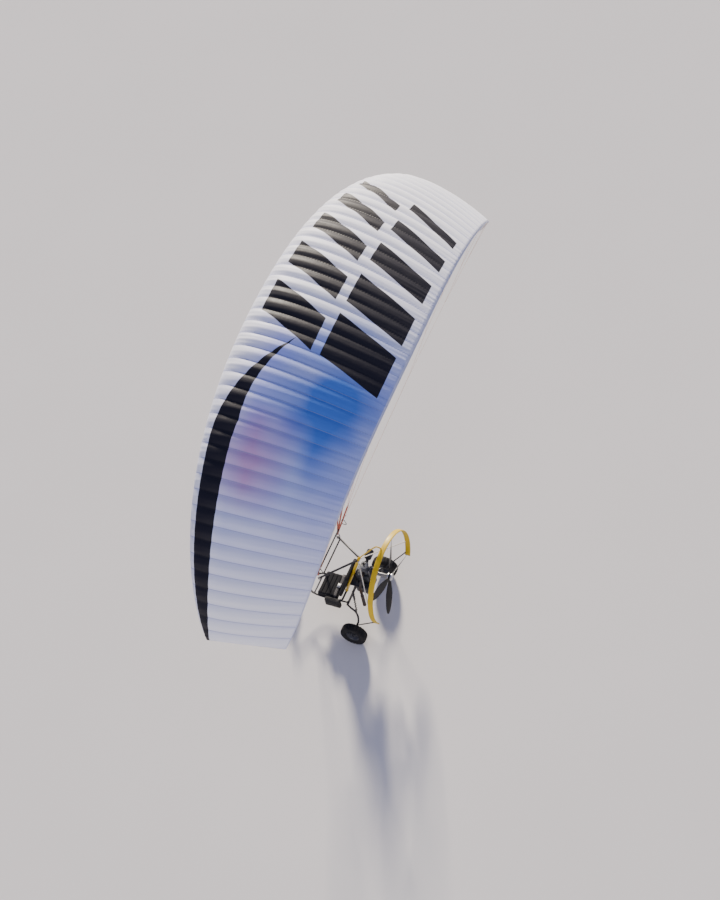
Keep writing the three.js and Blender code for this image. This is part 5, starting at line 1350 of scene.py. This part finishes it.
# Lap belt: black webbing bolted to the rails, led up round the sides of the base and laid across it, with a
# pressed steel buckle in its middle.
BELT_FORWARD, BELT_WIDE, BELT_THICK, BELT_STEPS = 0.500, 0.045, 0.0024, 61
belt_ends = ((RAIL_SIDE + RAIL_RADIUS + 0.002, RAIL_HEIGHT - 0.004), (SEAT_HALF + 0.003, RAIL_HEIGHT + 0.020))
belt_path = [at(BELT_FORWARD, -port, height) for port, height in belt_ends]
cover = surface(bpy.data.objects["seat_base_pad"])
for share in np.linspace(-1, 1, BELT_STEPS):
    x = share * (SEAT_HALF + 0.0025)
    hit = cover.ray_cast(at(BELT_FORWARD, x, 0.60), -UP)[0]
    height = max(hit.z if hit else SEAT_LOW + 0.040, SEAT_LOW + 0.030) + BELT_THICK / 2 + 0.0012
    belt_path.append(at(BELT_FORWARD + 0.010 * sin(share * 4.0), x, height))
belt_path += [at(BELT_FORWARD, port, height) for port, height in reversed(belt_ends)]
build("lap_belt", [strap(belt_path, BELT_WIDE, BELT_THICK, wide_way=AFT)], web_dark, "seat_fabric", angle=60)
top = belt_path[len(belt_path) // 2].z + BELT_THICK
plates = ((0.029, -0.034, 0.034, SEAT_GAP, 0.0095, 0.003, 3), (0.018, -0.016, 0.022, 0.009, 0.0125, 0.0015))
buckle = [block(BELT_FORWARD + half, BELT_FORWARD - half, starboard, port, top + low, top + high, *edges)
          for half, starboard, port, low, high, *edges in plates]
for side in (1, -1):
    anchor = at(BELT_FORWARD, side * (RAIL_SIDE + RAIL_RADIUS + 0.0032), RAIL_HEIGHT - 0.002)
    buckle += bolts([anchor], PORT * side)
build("lap_belt_buckle", buckle, steel, "alloy")

# Side pouch: a small padded bag of black coated cloth with welted edges, hung over the port rail beside the
# seat by two loops of webbing.
POUCH_FORWARD, POUCH_PORT, POUCH_LOW = 0.500, 0.249, 0.250
POUCH_LONG, POUCH_DEEP, POUCH_THICK = 0.200, 0.290, 0.080
HANGER = ((POUCH_PORT - 0.0005, 0.330), (POUCH_PORT - 0.001, 0.352), (0.215, 0.3345), (0.200, 0.3328),
          (0.186, 0.328), (0.1825, 0.315), (0.188, 0.303), (0.200, 0.2975), (0.214, 0.299),
          (POUCH_PORT - 0.0015, 0.300), (POUCH_PORT - 0.0015, 0.270))
pouch_place = Matrix.Translation(at(POUCH_FORWARD, POUCH_PORT, POUCH_LOW + POUCH_LONG / 2)) @ Matrix(
    [UP, PORT, AFT]).to_4x4()
pouch_cloth = Finish("pouch_nylon", Roughness=0.7, Specular_IOR_Level=0.3)
_, y, z = pouch_cloth.where.split()
warp = ((y * 2600.0).sine() * (z * 2600.0).sine() * 1.5 + 0.5).clip()
pouch_cloth.set(Base_Color=pouch_cloth.mix((0.006, 0.006, 0.008), (0.024, 0.023, 0.022),
                                           warp * (0.5 + pouch_cloth.noise(11.0, 4.0))),
                Normal=pouch_cloth.bump(warp, 0.0003, 0.8))
bag = cushion(POUCH_DEEP / 2, POUCH_LONG, POUCH_THICK, (0.035,), pouch_place)
pouch = build("side_pouch", [bag], pouch_cloth, "seat_fabric", angle=60)
welts = [piping(pouch, pouch_place, POUCH_DEEP / 2, POUCH_LONG, POUCH_THICK * share)
         for share in (0.22, 0.78)]
build("side_pouch_welts", welts, grip_rubber, "seat_fabric", angle=60)
hangers = [strap([at(forward, port, height) for port, height in HANGER], 0.020, 0.0022, wide_way=AFT)
           for forward in (POUCH_FORWARD - 0.085, POUCH_FORWARD + 0.085)]
build("pouch_straps", hangers, web_dark, "seat_fabric", angle=60)

# Floor: one pale matt sheet of painted board, large enough to fill every view. It is stage and no part of the
# paratrike.
floor = fresh(bpy.ops.mesh.primitive_plane_add, size=240)
floor.name = "floor"
board = Finish("floor_pale", Roughness=0.9)
board.set(Base_Color=board.mix((0.66, 0.64, 0.61), (0.70, 0.68, 0.65), board.noise(0.4)))
floor.data.materials.append(board.material)
